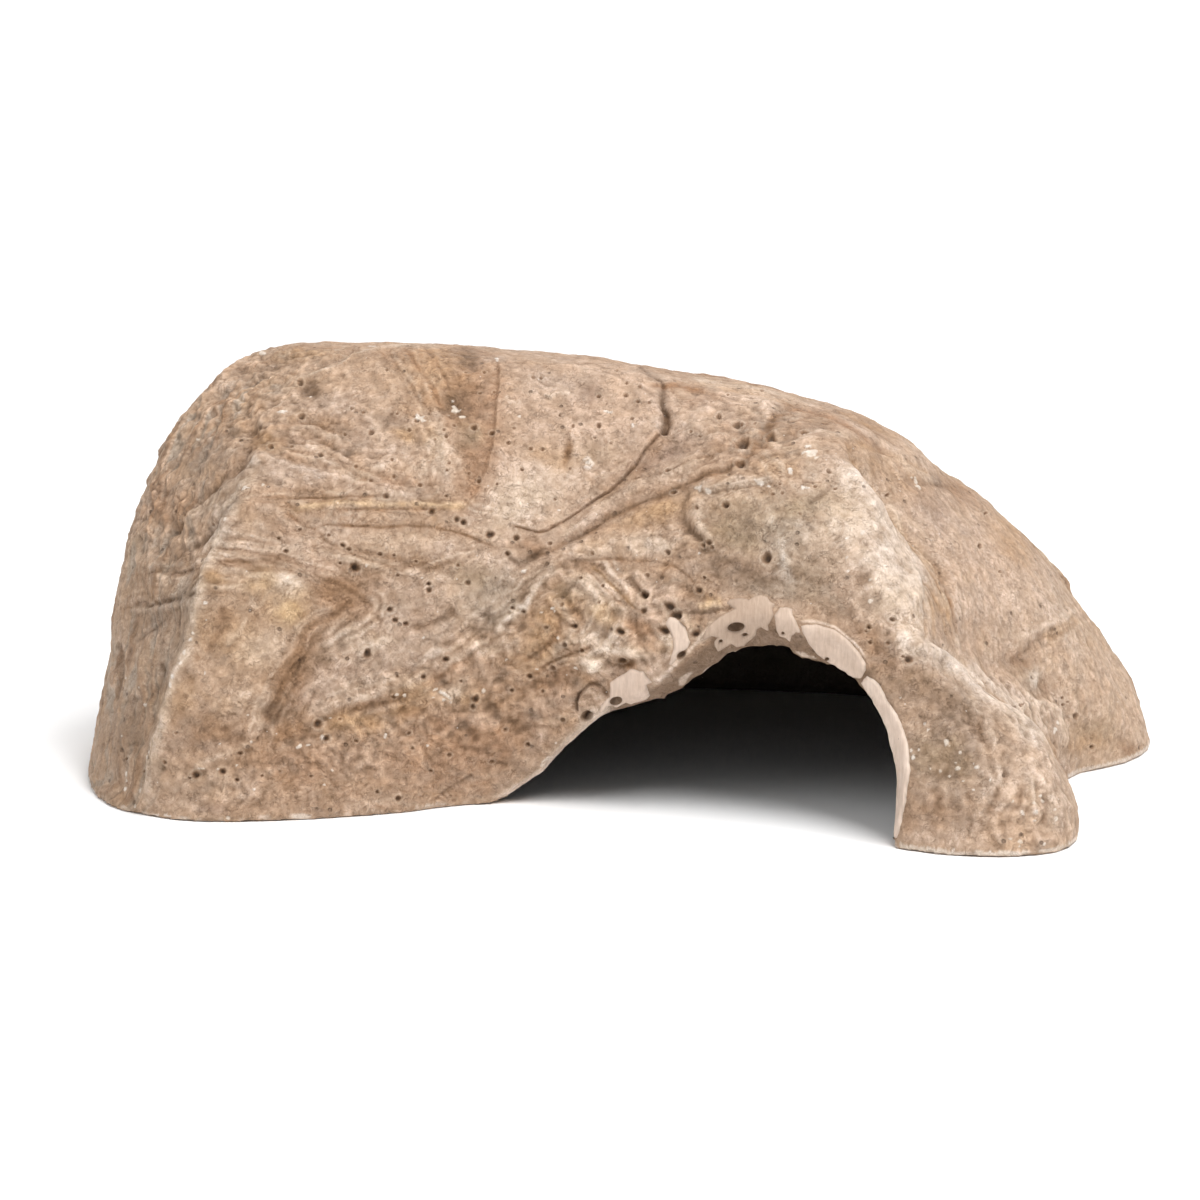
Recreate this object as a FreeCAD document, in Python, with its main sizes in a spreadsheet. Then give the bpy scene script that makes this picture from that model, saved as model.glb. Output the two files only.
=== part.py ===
import FreeCAD, Part
import Sketcher
import os
from FreeCAD import Vector

# Rock-shaped cave ornament for a pond, aquarium or terrarium.  Millimetres, +Z up.
# The origin is on the floor, at the middle of the base's bounding box.  +X runs along the
# length, from the blunt end to the end with the leg, and -Y is the side with the entrance.
#
# cast_shell is a thin-walled casting, open underneath.  Its outside and its hollow are
# ruled lofts through level rings.  A ring is a closed polygon, and the sheet holds the place
# of every corner.  Corner n of one ring lies straight up the slope from corner n of the ring
# below, so the loft's long edges follow the ridges of the rock.
# The lip patches are thin flat pads on the trimmed face of the entrance.

# ---------------------------------------------------------------- driving dimensions
# Alias, value, note.
DRIVING = [
    ("length", 262.39, "overall length, which the corner places are scaled to"),
    ("depth", 174.51, "overall depth"),
    ("height", 101.0, "overall height"),
    ("wall", 7.5, "wall thickness of the casting, square to its surface"),
    ("cavity_top", 93.0, "top of the hollow"),
    ("base_overrun", 1.0, "how far the hollow is run on below the rim, so that it opens"),
    ("datum_x", 160.0, "sketch datum, this far towards -X, beyond every corner"),
    ("datum_y", 120.0, "sketch datum, this far towards -Y, beyond every corner"),
    ("patch_thick", 0.9, "thickness of the lip patches"),
    ("reach_out", 12.0, "how far the entrance cutter stands out of the wall"),
    ("reach_in", 9.0, "how far the entrance cutter runs into the hollow"),
    ("sill_drop", 12.0, "how far the entrance cutter runs below the floor"),
    ("apex_out_x", 20.0, "outer apex of the entrance cutter"),
    ("apex_out_y", -97.0, "outer apex of the entrance cutter"),
    ("apex_out_z", 14.0, "outer apex of the entrance cutter"),
    ("apex_in_x", 14.0, "inner apex of the entrance cutter"),
    ("apex_in_y", -22.0, "inner apex of the entrance cutter"),
    ("apex_in_z", 8.0, "inner apex of the entrance cutter"),
    ("middle_back", 35.0, "from the inner apex towards -Y to the middle of the opening"),
]

# Scale from the tables below, which hold the rock at these overall sizes.
SCALES = [
    ("scale_x", "=length / 262.39"),
    ("scale_y", "=depth / 174.51"),
    ("scale_z", "=height / 101"),
]

# Heights of the levels.
LEVEL_Z = [0, 8, 17, 28, 39, 50, 60, 69, 77, 84, 90, 94.5, 97.8, 101]

# Corners of the outside rings, one entry of forty for each level, counter-clockwise from
# the +X end.
OUTSIDE_X = [
    [130.42, 131.19, 125.39, 114.42, 98.98, 79.02, 57.53, 35.21, 12.13, -11.1,
     -34.21, -56.93, -78.35, -95.68, -110.09, -120.84, -127.5, -131.2, -130.39, -126.05,
     -118.94, -106.25, -91.41, -71.84, -52.35, -37.26, -22.47, -3.49, 18.2, 40.64,
     57.99, 72.05, 86.15, 97, 102.83, 104.45, 101.29, 104.13, 110.87, 123.39],
    [129.02, 129.01, 123.12, 113.12, 95.85, 77, 57, 34.41, 13.75, -9.95,
     -33.16, -56.54, -76.76, -94.41, -108.83, -119.41, -126.37, -129.48, -128.87, -124.77,
     -116.97, -105.1, -90.21, -72.23, -53.95, -37.06, -19.79, -1.67, 17.7, 36.64,
     56.32, 72.01, 85.6, 95.9, 101.84, 103.25, 101.27, 104.12, 112.03, 122.94],
    [123.73, 126.02, 120.15, 110.78, 93.06, 74.35, 56.18, 33.08, 14.41, -8.46,
     -32.19, -55.4, -75.24, -92.88, -107.46, -117.7, -124.6, -127.71, -126.85, -122.42,
     -115.03, -104.01, -89.71, -72.57, -54.66, -36.88, -18.62, -0.34, 17.13, 34,
     54.41, 71.14, 84.61, 93.49, 97.96, 98.83, 98.15, 101.48, 110.94, 120.06],
    [117.07, 118.79, 114.31, 105.53, 90.58, 72.98, 54.18, 32.41, 14.31, -6.98,
     -31.88, -54.28, -73.84, -90.98, -105.34, -115.48, -122.47, -125.68, -124.33, -119.16,
     -111.92, -102.34, -89.13, -72.52, -54.61, -36.69, -18.04, 0.94, 16.52, 32.41,
     52.49, 68.03, 78.21, 85.4, 87.75, 87.1, 87.82, 96.71, 108.46, 113.97],
    [110.12, 110.44, 107.94, 98.86, 86.31, 69.89, 52.44, 30.97, 15.17, -7.21,
     -31.52, -52.67, -71.87, -89.01, -103.2, -113.15, -119.94, -123.89, -122.62, -116.07,
     -108.85, -100.58, -88.05, -71.98, -53.45, -37.24, -16.85, 0.95, 14.69, 31.98,
     49.85, 61.56, 69.37, 72.1, 73.49, 75.57, 82.92, 93.29, 103.21, 107.84],
    [101.91, 101.35, 99.64, 92.24, 80.05, 66.52, 49.8, 30.18, 15.23, -7.72,
     -30.58, -50.86, -69.91, -86.93, -100.6, -110.5, -116.92, -121.84, -119.73, -112.73,
     -105.86, -98.24, -86.49, -70.39, -53.42, -37.15, -14.65, 0.7, 14.48, 31.68,
     46.11, 56.08, 63.4, 65.98, 69.2, 73.77, 79.96, 88.39, 96.04, 100.54],
    [91.52, 91.24, 90.13, 85.69, 73.74, 62.7, 46.83, 28.53, 14.03, -7.07,
     -29.5, -49.29, -68.26, -84.84, -97.7, -107.81, -113.75, -120.16, -116.2, -109.05,
     -102.34, -95.26, -84.68, -68.53, -54.12, -36.99, -13.04, 1.42, 15.54, 30.79,
     41.31, 50.44, 58.41, 61.56, 63.71, 67.03, 73.74, 81.96, 87.51, 90.82],
    [79.6, 78.8, 77.62, 74.87, 66.82, 57.92, 43.33, 27.8, 12.62, -8.75,
     -27.63, -48.1, -66.71, -82.61, -94.94, -104.81, -110.33, -117.04, -112.05, -105.12,
     -98.21, -91.6, -81.44, -68.06, -55.71, -33.22, -13.22, 0.47, 16.81, 29.37,
     38.44, 46.63, 53.94, 57.38, 58.55, 59.83, 66.98, 74.54, 78.39, 80],
    [71.15, 69.75, 67.88, 65.55, 60.74, 51.17, 38.74, 24.97, 11, -8.9,
     -27.8, -46.65, -64.77, -80.04, -91.93, -101.43, -106.96, -112.88, -107.29, -100.65,
     -94.12, -87.82, -78.75, -66.27, -55.46, -34.05, -14.01, -0.22, 17.12, 27.13,
     34.42, 41.97, 49.61, 54.12, 55.53, 56.96, 61.14, 66.81, 70.16, 71.6],
    [59.73, 58.57, 57.12, 55.16, 50.88, 42, 31.7, 20.83, 8.04, -10.44,
     -27.61, -45.84, -62.61, -77.46, -88.95, -97.73, -104.09, -107.72, -102.14, -95.1,
     -89.29, -83.51, -75.47, -67.13, -51.26, -32.41, -20.35, -0.43, 17.43, 26.95,
     33.35, 39.58, 45.85, 50.8, 53.48, 55.29, 56.95, 58.7, 59.92, 60.26],
    [39.93, 38.07, 35.55, 32.4, 28.94, 25.32, 19.73, 6.82, -7.42, -16.7,
     -26.6, -39.8, -54.04, -70.46, -83.73, -94.09, -101.27, -101.98, -96.2, -89.46,
     -84.31, -79.47, -72.46, -60.18, -44.16, -27.56, -18.99, -6.39, 8.5, 15.18,
     18.36, 22.33, 26.49, 30.62, 34.95, 38.66, 40.99, 41.91, 41.88, 41.19],
    [15.27, 13.83, 11.97, 9.76, 7.15, 4.19, 1.03, -5.79, -14.09, -21.11,
     -30.39, -41.13, -53.92, -67.32, -79.05, -89.2, -97.58, -96.28, -90.49, -84.48,
     -80.11, -72.26, -60.16, -52.84, -45.36, -33.27, -23.08, -13.93, -6.73, -3.01,
     0.65, 4.02, 7.18, 10.12, 12.8, 15.05, 16.46, 16.89, 16.77, 16.24],
    [-4.37, -5.27, -6.56, -8.09, -9.77, -11.5, -13.26, -15.68, -21.72, -29,
     -35.38, -43.3, -52.94, -63.18, -73.48, -82.93, -90.84, -90.8, -85.2, -78.65,
     -72.21, -67.37, -62.47, -53.35, -43.8, -35.78, -26.31, -22.12, -19.27, -16.54,
     -13.96, -11.58, -9.47, -7.75, -6.44, -5.51, -4.79, -4.27, -3.94, -3.93],
    [-41.83, -42.05, -42.32, -42.63, -42.99, -43.39, -43.83, -44.31, -45.69, -47.05,
     -49.55, -52.95, -56.2, -59.45, -62.97, -66.8, -70.45, -71.07, -68.46, -65.83,
     -64.24, -62.74, -59.79, -56.3, -52.74, -49.29, -47.04, -46.12, -45.26, -44.48,
     -43.77, -43.11, -42.52, -42.03, -41.66, -41.47, -41.4, -41.42, -41.51, -41.65],
]
OUTSIDE_Y = [
    [12.04, 25.64, 41.02, 54.43, 65.13, 73.47, 79.9, 84.22, 86.77, 87.26,
     86.26, 83.59, 78.81, 71.17, 59.52, 44.55, 26.34, 5.96, -13.73, -33.33,
     -46.16, -54.35, -56.73, -54.12, -48.43, -41.14, -41.86, -48.64, -58.52, -68.4,
     -76.96, -85.44, -87.25, -83.35, -73.73, -58.97, -41.19, -24.71, -11.1, -1.01],
    [12.86, 27.12, 39.03, 51.38, 62.76, 71.47, 78.34, 82.96, 85.3, 86.11,
     85.22, 82.44, 77.74, 70, 58.75, 43.63, 25.55, 5.69, -13.92, -31.9,
     -44.79, -53.32, -55.58, -52.37, -47.65, -42.62, -42.65, -49.74, -58.45, -66.91,
     -76.41, -84.66, -85.66, -82.65, -73.18, -58.44, -41.32, -24.66, -10.66, 0.06],
    [14.88, 27.47, 37.14, 47.33, 59.86, 69.47, 76.32, 81.44, 83.64, 84.43,
     83.65, 81.17, 76.34, 68.55, 57.38, 42.56, 24.78, 5.45, -13.34, -30.08,
     -43, -51.88, -53.85, -50.4, -46.25, -43.21, -43.31, -50.42, -58.58, -66.09,
     -76.3, -83.09, -82.84, -79.57, -71.33, -57.92, -41.15, -23.87, -10.25, 2.29],
    [17.02, 26.08, 33.77, 42.92, 55.07, 66.13, 74.13, 79.25, 81.3, 82.16,
     81.48, 79.26, 74.27, 66.66, 55.85, 41.21, 23.55, 5.11, -12.39, -27.87,
     -40.73, -49.83, -51.89, -48.55, -44.85, -42.73, -44.16, -51.55, -58.41, -65.8,
     -75.45, -79.22, -78.32, -73.53, -65.69, -55.11, -37.59, -21.31, -8.87, 3.97],
    [17.93, 24.07, 29.84, 39.19, 50.61, 63.1, 71.48, 76.81, 78.5, 79.63,
     79.19, 77.18, 72.17, 64.53, 54.03, 39.61, 22.46, 5.02, -11.62, -25.88,
     -38.31, -47.07, -49.58, -46.62, -43.5, -41.76, -45.02, -52.3, -57.41, -65.55,
     -71.25, -72.97, -73.51, -67.01, -59.75, -49.51, -34.51, -19.39, -6.73, 6.61],
    [17.14, 21.84, 26.31, 33.93, 46.86, 59.63, 68.28, 73.36, 75.2, 76.71,
     76.49, 74.74, 69.99, 62.32, 51.63, 37.71, 21.17, 5.08, -10.45, -23.85,
     -35.32, -43.88, -46.75, -44.28, -41.75, -40.36, -43.97, -49.07, -54.31, -62.21,
     -65.85, -66.56, -66.54, -60.68, -54.13, -45.57, -32.22, -17.03, -4.24, 8.35],
    [16.08, 20.46, 24.17, 29.2, 41.6, 55.17, 64.17, 69.64, 72.03, 73.6,
     73.59, 72.26, 67.91, 60.34, 49.51, 35.61, 19.88, 5.17, -8.96, -21.03,
     -31.81, -40.46, -43.72, -41.08, -39.17, -37.76, -39.36, -42.55, -48.63, -56.05,
     -58.89, -59.95, -60.29, -54.7, -47.65, -38.27, -27.16, -14.3, -2.02, 8.28],
    [13.43, 16.95, 20.16, 25.24, 37.73, 49.82, 58.68, 64.32, 67.79, 69.96,
     70.25, 69.48, 65.56, 58.22, 46.84, 33.4, 18.78, 5.57, -6.61, -17.75,
     -28.23, -36.2, -40.02, -37.47, -35.69, -33.08, -30.89, -34, -42.6, -49.15,
     -52.17, -52.91, -53.09, -48.16, -41.97, -34.15, -22.58, -11.01, -0.44, 7.75],
    [10.61, 15.19, 19.28, 23.52, 30.86, 42.65, 51.93, 57.96, 61.83, 64.83,
     65.89, 65.85, 62.48, 55.4, 44.21, 31.27, 17.53, 6.75, -4.02, -13.86,
     -23.82, -30.9, -32.66, -30.8, -29.69, -27.58, -25.47, -26.62, -34.23, -39.98,
     -44.03, -46.08, -45.41, -40.67, -34.56, -28.15, -19.14, -9.66, -1.74, 5.16],
    [8.36, 12.12, 15.06, 18.01, 23.09, 33.74, 43.38, 49.31, 54.21, 58.38,
     60.35, 61.02, 58.49, 51.8, 41.14, 29.11, 17.28, 8.12, -0.31, -9.49,
     -17.43, -22.26, -22.22, -21.45, -21.48, -21.48, -20.66, -20.33, -24.61, -28.89,
     -31.96, -34.47, -35.16, -32.6, -27.73, -22.38, -16.79, -9.75, -2.95, 3.38],
    [9.03, 13.1, 17.01, 20.66, 24.01, 27.4, 32.24, 41.06, 47.43, 50.25,
     52.43, 54.13, 54.17, 49.7, 40.18, 28.13, 18.29, 10.52, 4.06, -3.37,
     -9.02, -11.95, -12.13, -12.42, -13.79, -14.52, -14.57, -14.13, -14.29, -14.26,
     -14.21, -14.35, -14.76, -14.97, -14.09, -11.6, -7.91, -3.71, 0.59, 4.84],
    [11.92, 14.66, 17.22, 19.66, 22.12, 24.61, 26.97, 31.37, 35.99, 39.13,
     42.27, 44.63, 45.86, 44.13, 38.38, 29.9, 20.81, 14.1, 9.03, 2.59,
     -2.35, -4.54, -5.06, -6.35, -7.15, -7.97, -8.66, -8.86, -8.68, -8.58,
     -8.37, -7.93, -7.22, -6.11, -4.54, -2.47, 0.16, 3.09, 6.07, 9.04],
    [14.18, 16.22, 18.01, 19.56, 20.87, 22.02, 23.05, 24.32, 27, 29.64,
     31.6, 33.71, 35.66, 36.4, 34.8, 30.85, 25.28, 18.79, 14.69, 8.82,
     3.77, 2.2, 1.02, -0.94, -2.19, -2.79, -3.29, -3.59, -3.69, -3.6,
     -3.25, -2.51, -1.41, 0.04, 1.78, 3.71, 5.73, 7.79, 9.87, 12.01],
    [11.81, 12.39, 13.02, 13.7, 14.42, 15.18, 15.93, 16.64, 18.29, 19.38,
     20.67, 21.65, 22.27, 22.58, 22.63, 22.44, 21.63, 18.6, 15.92, 13.73,
     12.59, 11.63, 10.11, 9.02, 8.44, 8.08, 7.91, 7.84, 7.79, 7.78,
     7.82, 7.93, 8.11, 8.41, 8.8, 9.28, 9.76, 10.25, 10.75, 11.26],
]

# Step from each outside corner to the hollow's corner, in wall thicknesses.  It is longer
# than 1 where the wall leans or turns.
STEP_X = [
    [-1.024, -1.064, -1.019, -0.747, -0.527, -0.377, -0.273, -0.141, -0.097, 0.025,
     0.059, 0.212, 0.315, 0.539, 0.799, 0.953, 1.024, 1.089, 1.063, 1.012,
     0.779, 0.463, -0.031, -0.229, -0.413, -0.056, 0.249, 0.379, 0.405, 0.416,
     0.665, 0.291, -0.159, -0.711, -1.011, -1.121, -1, -0.979, -0.768, -0.852],
    [-1.157, -1.072, -0.925, -0.793, -0.535, -0.449, -0.243, -0.152, -0.068, 0.033,
     0.069, 0.221, 0.304, 0.545, 0.763, 0.947, 1.041, 1.067, 1.064, 1.017,
     0.819, 0.435, -0.097, -0.217, -0.268, -0.228, 0.285, 0.445, 0.448, 0.445,
     0.573, 0.249, -0.179, -0.712, -1.072, -1.144, -1.052, -1.004, -0.647, -0.969],
    [-1.167, -1.28, -0.935, -0.808, -0.597, -0.452, -0.313, -0.189, -0.065, 0.028,
     0.089, 0.173, 0.299, 0.544, 0.772, 0.956, 1.036, 1.06, 1.065, 1.039,
     0.891, 0.465, -0.104, -0.197, -0.192, -0.143, 0.219, 0.471, 0.436, 0.424,
     0.485, 0.199, -0.641, -1.041, -1.296, -1.403, -1.5, -1.1, -0.705, -1.132],
    [-1.231, -1.368, -1.128, -0.804, -0.699, -0.564, -0.3, -0.181, -0.073, -0.028,
     0.087, 0.224, 0.324, 0.559, 0.781, 0.973, 1.02, 1.056, 1.027, 0.993,
     0.901, 0.544, -0.088, -0.229, -0.141, -0.023, 0.272, 0.412, 0.389, 0.437,
     0.304, -0.607, -1.153, -1.545, -1.845, -1.801, -1.103, -0.909, -0.993, -1.176],
    [-1.321, -1.364, -1.38, -0.855, -0.869, -0.607, -0.339, -0.143, -0.073, -0.032,
     0.069, 0.212, 0.356, 0.54, 0.793, 0.959, 1.037, 1.047, 1.029, 0.98,
     0.929, 0.616, -0.067, -0.189, -0.132, 0.004, 0.421, 0.364, 0.447, 0.463,
     -0.071, -0.867, -1.148, -1.063, -1.012, -1.028, -0.937, -0.867, -1.155, -1.203],
    [-1.457, -1.429, -1.531, -1.063, -1.056, -0.783, -0.396, -0.215, -0.128, -0.007,
     0.036, 0.165, 0.375, 0.564, 0.792, 0.965, 1.063, 1.059, 0.997, 0.976,
     0.944, 0.684, -0.028, -0.153, -0.153, -0.047, 0.421, 0.339, 0.557, 0.397,
     -0.093, -0.705, -0.973, -0.873, -0.988, -1.187, -1.135, -1.021, -1.343, -1.457],
    [-1.676, -1.653, -1.764, -1.641, -1.181, -0.905, -0.469, -0.26, -0.14, -0.057,
     0.024, 0.151, 0.337, 0.621, 0.855, 0.981, 1.067, 1.211, 1.013, 1.012,
     0.991, 0.765, 0.077, -0.143, -0.121, -0.037, 0.113, 0.483, 0.64, 0.421,
     -0.077, -0.629, -1.025, -1.021, -1.159, -1.453, -1.039, -1.26, -1.437, -1.673],
    [-1.509, -1.56, -1.653, -1.576, -1.275, -1.107, -0.669, -0.395, -0.259, -0.056,
     -0.052, 0.113, 0.339, 0.649, 0.879, 1.005, 1.083, 1.344, 1.051, 1.072,
     1.032, 0.823, 0.039, -0.175, -0.141, -0.133, 0.001, 0.485, 0.679, 0.489,
     -0.155, -0.648, -1.012, -1.052, -1.068, -1.127, -1.08, -1.304, -1.485, -1.559],
    [-1.944, -1.891, -1.879, -1.887, -1.608, -1.641, -1.123, -0.747, -0.483, -0.203,
     -0.056, 0.073, 0.369, 0.653, 0.903, 1.059, 1.052, 1.531, 1.116, 1.196,
     1.12, 0.691, 0.009, -0.057, 0.047, -0.108, -0.087, 0.305, 0.565, 0.612,
     0.127, -0.383, -0.873, -1.048, -1.013, -1.027, -1.255, -1.548, -1.845, -1.98],
    [-3.809, -3.797, -3.776, -3.728, -3.407, -2.495, -1.961, -1.615, -1.212, -0.641,
     -0.337, 0.061, 0.349, 0.687, 0.971, 1.119, 1.34, 1.779, 1.277, 1.357,
     1.144, 0.729, 0.063, 0.428, 0.352, -0.117, 0.324, -0.287, -0.78, -1.649,
     -2.112, -2.56, -3.017, -3.305, -3.3, -3.239, -3.281, -3.456, -3.641, -3.765],
    [-5.828, -5.639, -5.387, -5.08, -4.764, -4.451, -3.899, -2.387, -1.511, -1.468,
     -1.367, -0.852, -0.22, 0.685, 1.244, 1.616, 2.144, 2.309, 1.779, 1.733,
     1.44, 1.103, 1.433, 1.056, 0.197, -0.732, -0.591, -1.239, -2.979, -3.637,
     -3.845, -4.168, -4.532, -4.899, -5.305, -5.665, -5.915, -6.027, -6.031, -5.959],
]
STEP_Y = [
    [0.293, -0.244, -0.536, -0.845, -1.051, -1.052, -1.031, -1.047, -1.057, -1.031,
     -1.037, -1.037, -1.023, -0.928, -0.708, -0.511, -0.296, -0.057, 0.133, 0.367,
     0.831, 0.973, 1.029, 1.048, 0.993, 1.023, 0.997, 0.965, 0.959, 0.953,
     0.78, 1.024, 1.097, 0.871, 0.351, -0.144, -0.017, 0.335, 0.677, 0.636],
    [0.363, -0.292, -0.62, -0.844, -0.992, -1.003, -1.045, -1.048, -1.051, -1.057,
     -1.055, -1.032, -1.025, -0.929, -0.752, -0.512, -0.256, -0.037, 0.119, 0.413,
     0.735, 0.995, 1.064, 1.048, 1.031, 1.029, 0.993, 0.947, 0.937, 0.941,
     0.875, 1.039, 1.071, 0.939, 0.443, -0.015, 0.011, 0.355, 0.813, 0.552],
    [0.413, -0.285, -0.755, -0.895, -0.989, -1.003, -1.027, -1.047, -1.06, -1.051,
     -1.051, -1.045, -1.032, -0.931, -0.749, -0.493, -0.269, -0.039, 0.165, 0.385,
     0.683, 0.993, 1.057, 1.04, 1.029, 1.029, 1.012, 0.919, 0.952, 0.945,
     0.931, 1.087, 1.089, 0.997, 0.675, -0.128, 0.28, 0.503, 0.825, 0.421],
    [0.117, -0.283, -0.581, -0.913, -0.964, -0.963, -1.039, -1.057, -1.069, -1.065,
     -1.053, -1.043, -1.028, -0.933, -0.749, -0.473, -0.332, -0.087, 0.283, 0.484,
     0.657, 0.975, 1.068, 1.033, 1.032, 1.004, 1, 0.96, 0.955, 0.937,
     1.067, 1.327, 1.124, 1.004, 0.773, 0.18, 0.599, 0.621, 0.652, 0.329],
    [-0.239, -0.292, -0.385, -0.929, -0.88, -0.956, -1.049, -1.084, -1.083, -1.069,
     -1.068, -1.057, -1.016, -0.941, -0.764, -0.521, -0.315, -0.172, 0.348, 0.515,
     0.627, 0.967, 1.092, 1.039, 1.043, 1.013, 0.975, 1.011, 0.959, 0.957,
     1.147, 1.301, 1.417, 1.145, 0.908, 0.375, 0.559, 0.728, 0.496, 0.351],
    [-0.424, -0.336, -0.296, -0.812, -0.828, -0.923, -1.079, -1.099, -1.088, -1.083,
     -1.087, -1.071, -1.016, -0.929, -0.773, -0.531, -0.281, -0.26, 0.476, 0.569,
     0.667, 0.96, 1.107, 1.073, 1.059, 1.067, 1.041, 1.156, 1.023, 1.111,
     1.241, 1.269, 1.357, 1.128, 0.904, 0.592, 0.592, 0.696, 0.449, 0.052],
    [-0.539, -0.452, -0.337, -0.529, -0.759, -0.953, -1.167, -1.161, -1.136, -1.108,
     -1.099, -1.083, -1.035, -0.912, -0.741, -0.555, -0.337, -0.195, 0.585, 0.613,
     0.683, 0.984, 1.157, 1.1, 1.101, 1.127, 1.44, 1.275, 1.044, 1.165,
     1.291, 1.345, 1.423, 1.16, 0.875, 0.347, 0.964, 0.607, 0.432, -0.163],
    [-0.541, -0.416, -0.283, -0.416, -0.828, -1.155, -1.279, -1.279, -1.253, -1.208,
     -1.153, -1.127, -1.072, -0.935, -0.753, -0.568, -0.395, -0.079, 0.656, 0.673,
     0.747, 1.039, 1.344, 1.244, 1.229, 1.244, 1.287, 1.276, 1.209, 1.251,
     1.411, 1.369, 1.427, 1.185, 0.959, 0.521, 0.848, 0.625, 0.096, -0.397],
    [-0.576, -0.664, -0.725, -0.856, -1.433, -1.419, -1.573, -1.579, -1.492, -1.379,
     -1.284, -1.223, -1.152, -1.021, -0.791, -0.592, -0.591, 0.065, 0.823, 0.833,
     1.052, 1.652, 1.825, 1.721, 1.589, 1.332, 1.257, 1.364, 1.584, 1.693,
     1.999, 2.06, 1.885, 1.548, 1.224, 0.88, 0.516, 0.472, -0.005, -0.388],
    [-0.119, -0.275, -0.329, -0.4, -0.773, -1.897, -2.364, -2.292, -2.167, -1.945,
     -1.705, -1.541, -1.392, -1.16, -0.84, -0.6, -0.463, 0.356, 1.075, 1.149,
     1.628, 2.076, 2.023, 1.944, 1.745, 1.612, 1.451, 1.513, 2.052, 2.657,
     3.12, 3.508, 3.641, 3.337, 2.757, 2.24, 1.809, 1.227, 0.683, 0.196],
    [0.333, -0.011, -0.337, -0.639, -0.913, -1.207, -1.708, -2.751, -3.081, -2.98,
     -2.856, -2.756, -2.541, -1.932, -1.068, -0.256, 0.253, 1.045, 1.62, 1.649,
     2.011, 2.243, 2.037, 1.811, 1.843, 1.864, 1.777, 1.72, 1.78, 1.836,
     1.908, 2.012, 2.167, 2.296, 2.289, 2.104, 1.799, 1.436, 1.061, 0.693],
]

# Corners of the hollow's small top ring.
CAP_X = [
    -37.4, -37.61, -37.83, -38.09, -38.38, -38.69, -39.05, -39.44, -40.58, -43.82,
    -47.9, -52.2, -56.49, -60.81, -65.14, -69.47, -73.43, -73.54, -71.83, -68.75,
    -65.34, -61.49, -57.38, -53.14, -48.85, -44.54, -42.32, -41.5, -40.74, -40.02,
    -39.36, -38.75, -38.23, -37.77, -37.41, -37.17, -37.07, -37.05, -37.12, -37.25,
]
CAP_Y = [
    10.85, 11.39, 11.94, 12.53, 13.14, 13.79, 14.47, 15.18, 16.9, 19.73,
    21.14, 21.67, 22.28, 22.59, 22.54, 22.3, 20.97, 19.92, 17.5, 14.46,
    11.8, 9.83, 8.45, 7.57, 6.99, 6.57, 6.43, 6.41, 6.44, 6.52,
    6.65, 6.81, 7.1, 7.44, 7.83, 8.29, 8.79, 9.31, 9.82, 10.33,
]

# Entrance lip, from the foot at the blunt end over the crown to the foot of the jamb:
# x, y, z of a point on the outside of the wall, then of its partner on the inside.
LIP = [
    (-34.42, -40.83, 0.30, -30.60, -33.23, -0.98),
    (-30.17, -40.74, 1.49, -29.05, -33.23, -0.36),
    (-26.83, -41.53, 4.38, -25.82, -33.31, 1.25),
    (-19.96, -42.68, 8.81, -19.01, -34.61, 5.77),
    (-16.64, -43.64, 13.66, -15.55, -35.75, 10.70),
    (-10.52, -46.20, 20.09, -9.49, -38.10, 17.01),
    (-7.24, -47.51, 24.26, -5.60, -39.71, 21.04),
    (-3.74, -49.23, 27.31, -2.07, -41.27, 22.51),
    (0.66, -51.46, 30.22, 2.14, -43.11, 23.80),
    (5.28, -53.73, 32.66, 6.33, -45.14, 25.13),
    (10.55, -55.85, 36.71, 10.96, -47.42, 27.47),
    (13.97, -56.95, 40.74, 15.10, -49.47, 30.47),
    (16.93, -57.56, 44.42, 19.46, -51.16, 34.68),
    (19.89, -57.88, 48.02, 22.88, -52.60, 37.27),
    (23.76, -58.90, 50.12, 26.74, -54.26, 39.19),
    (29.41, -60.80, 51.12, 30.60, -55.84, 40.73),
    (34.82, -62.75, 51.19, 34.22, -57.49, 41.22),
    (39.30, -65.16, 49.14, 38.05, -59.41, 40.95),
    (44.48, -66.51, 48.50, 42.10, -61.24, 39.83),
    (48.31, -67.46, 47.08, 45.26, -62.45, 38.58),
    (51.43, -69.07, 44.64, 48.44, -63.41, 37.04),
    (54.09, -70.87, 41.09, 51.15, -64.43, 35.04),
    (56.30, -72.49, 37.97, 53.17, -65.42, 33.04),
    (58.71, -74.46, 34.25, 55.40, -66.87, 30.68),
    (61.12, -76.58, 30.10, 57.40, -68.24, 28.31),
    (62.85, -78.66, 25.26, 59.07, -69.70, 24.44),
    (63.94, -80.08, 21.19, 60.22, -70.52, 19.71),
    (64.16, -81.01, 17.24, 60.84, -70.76, 15.07),
    (63.53, -81.13, 13.54, 60.92, -70.41, 11.44),
    (62.91, -81.04, 10.01, 60.80, -69.80, 7.26),
    (61.88, -80.50, 6.12, 60.79, -69.17, 2.83),
    (61.31, -80.02, 1.30, 60.64, -68.96, -1.27),
]

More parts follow.
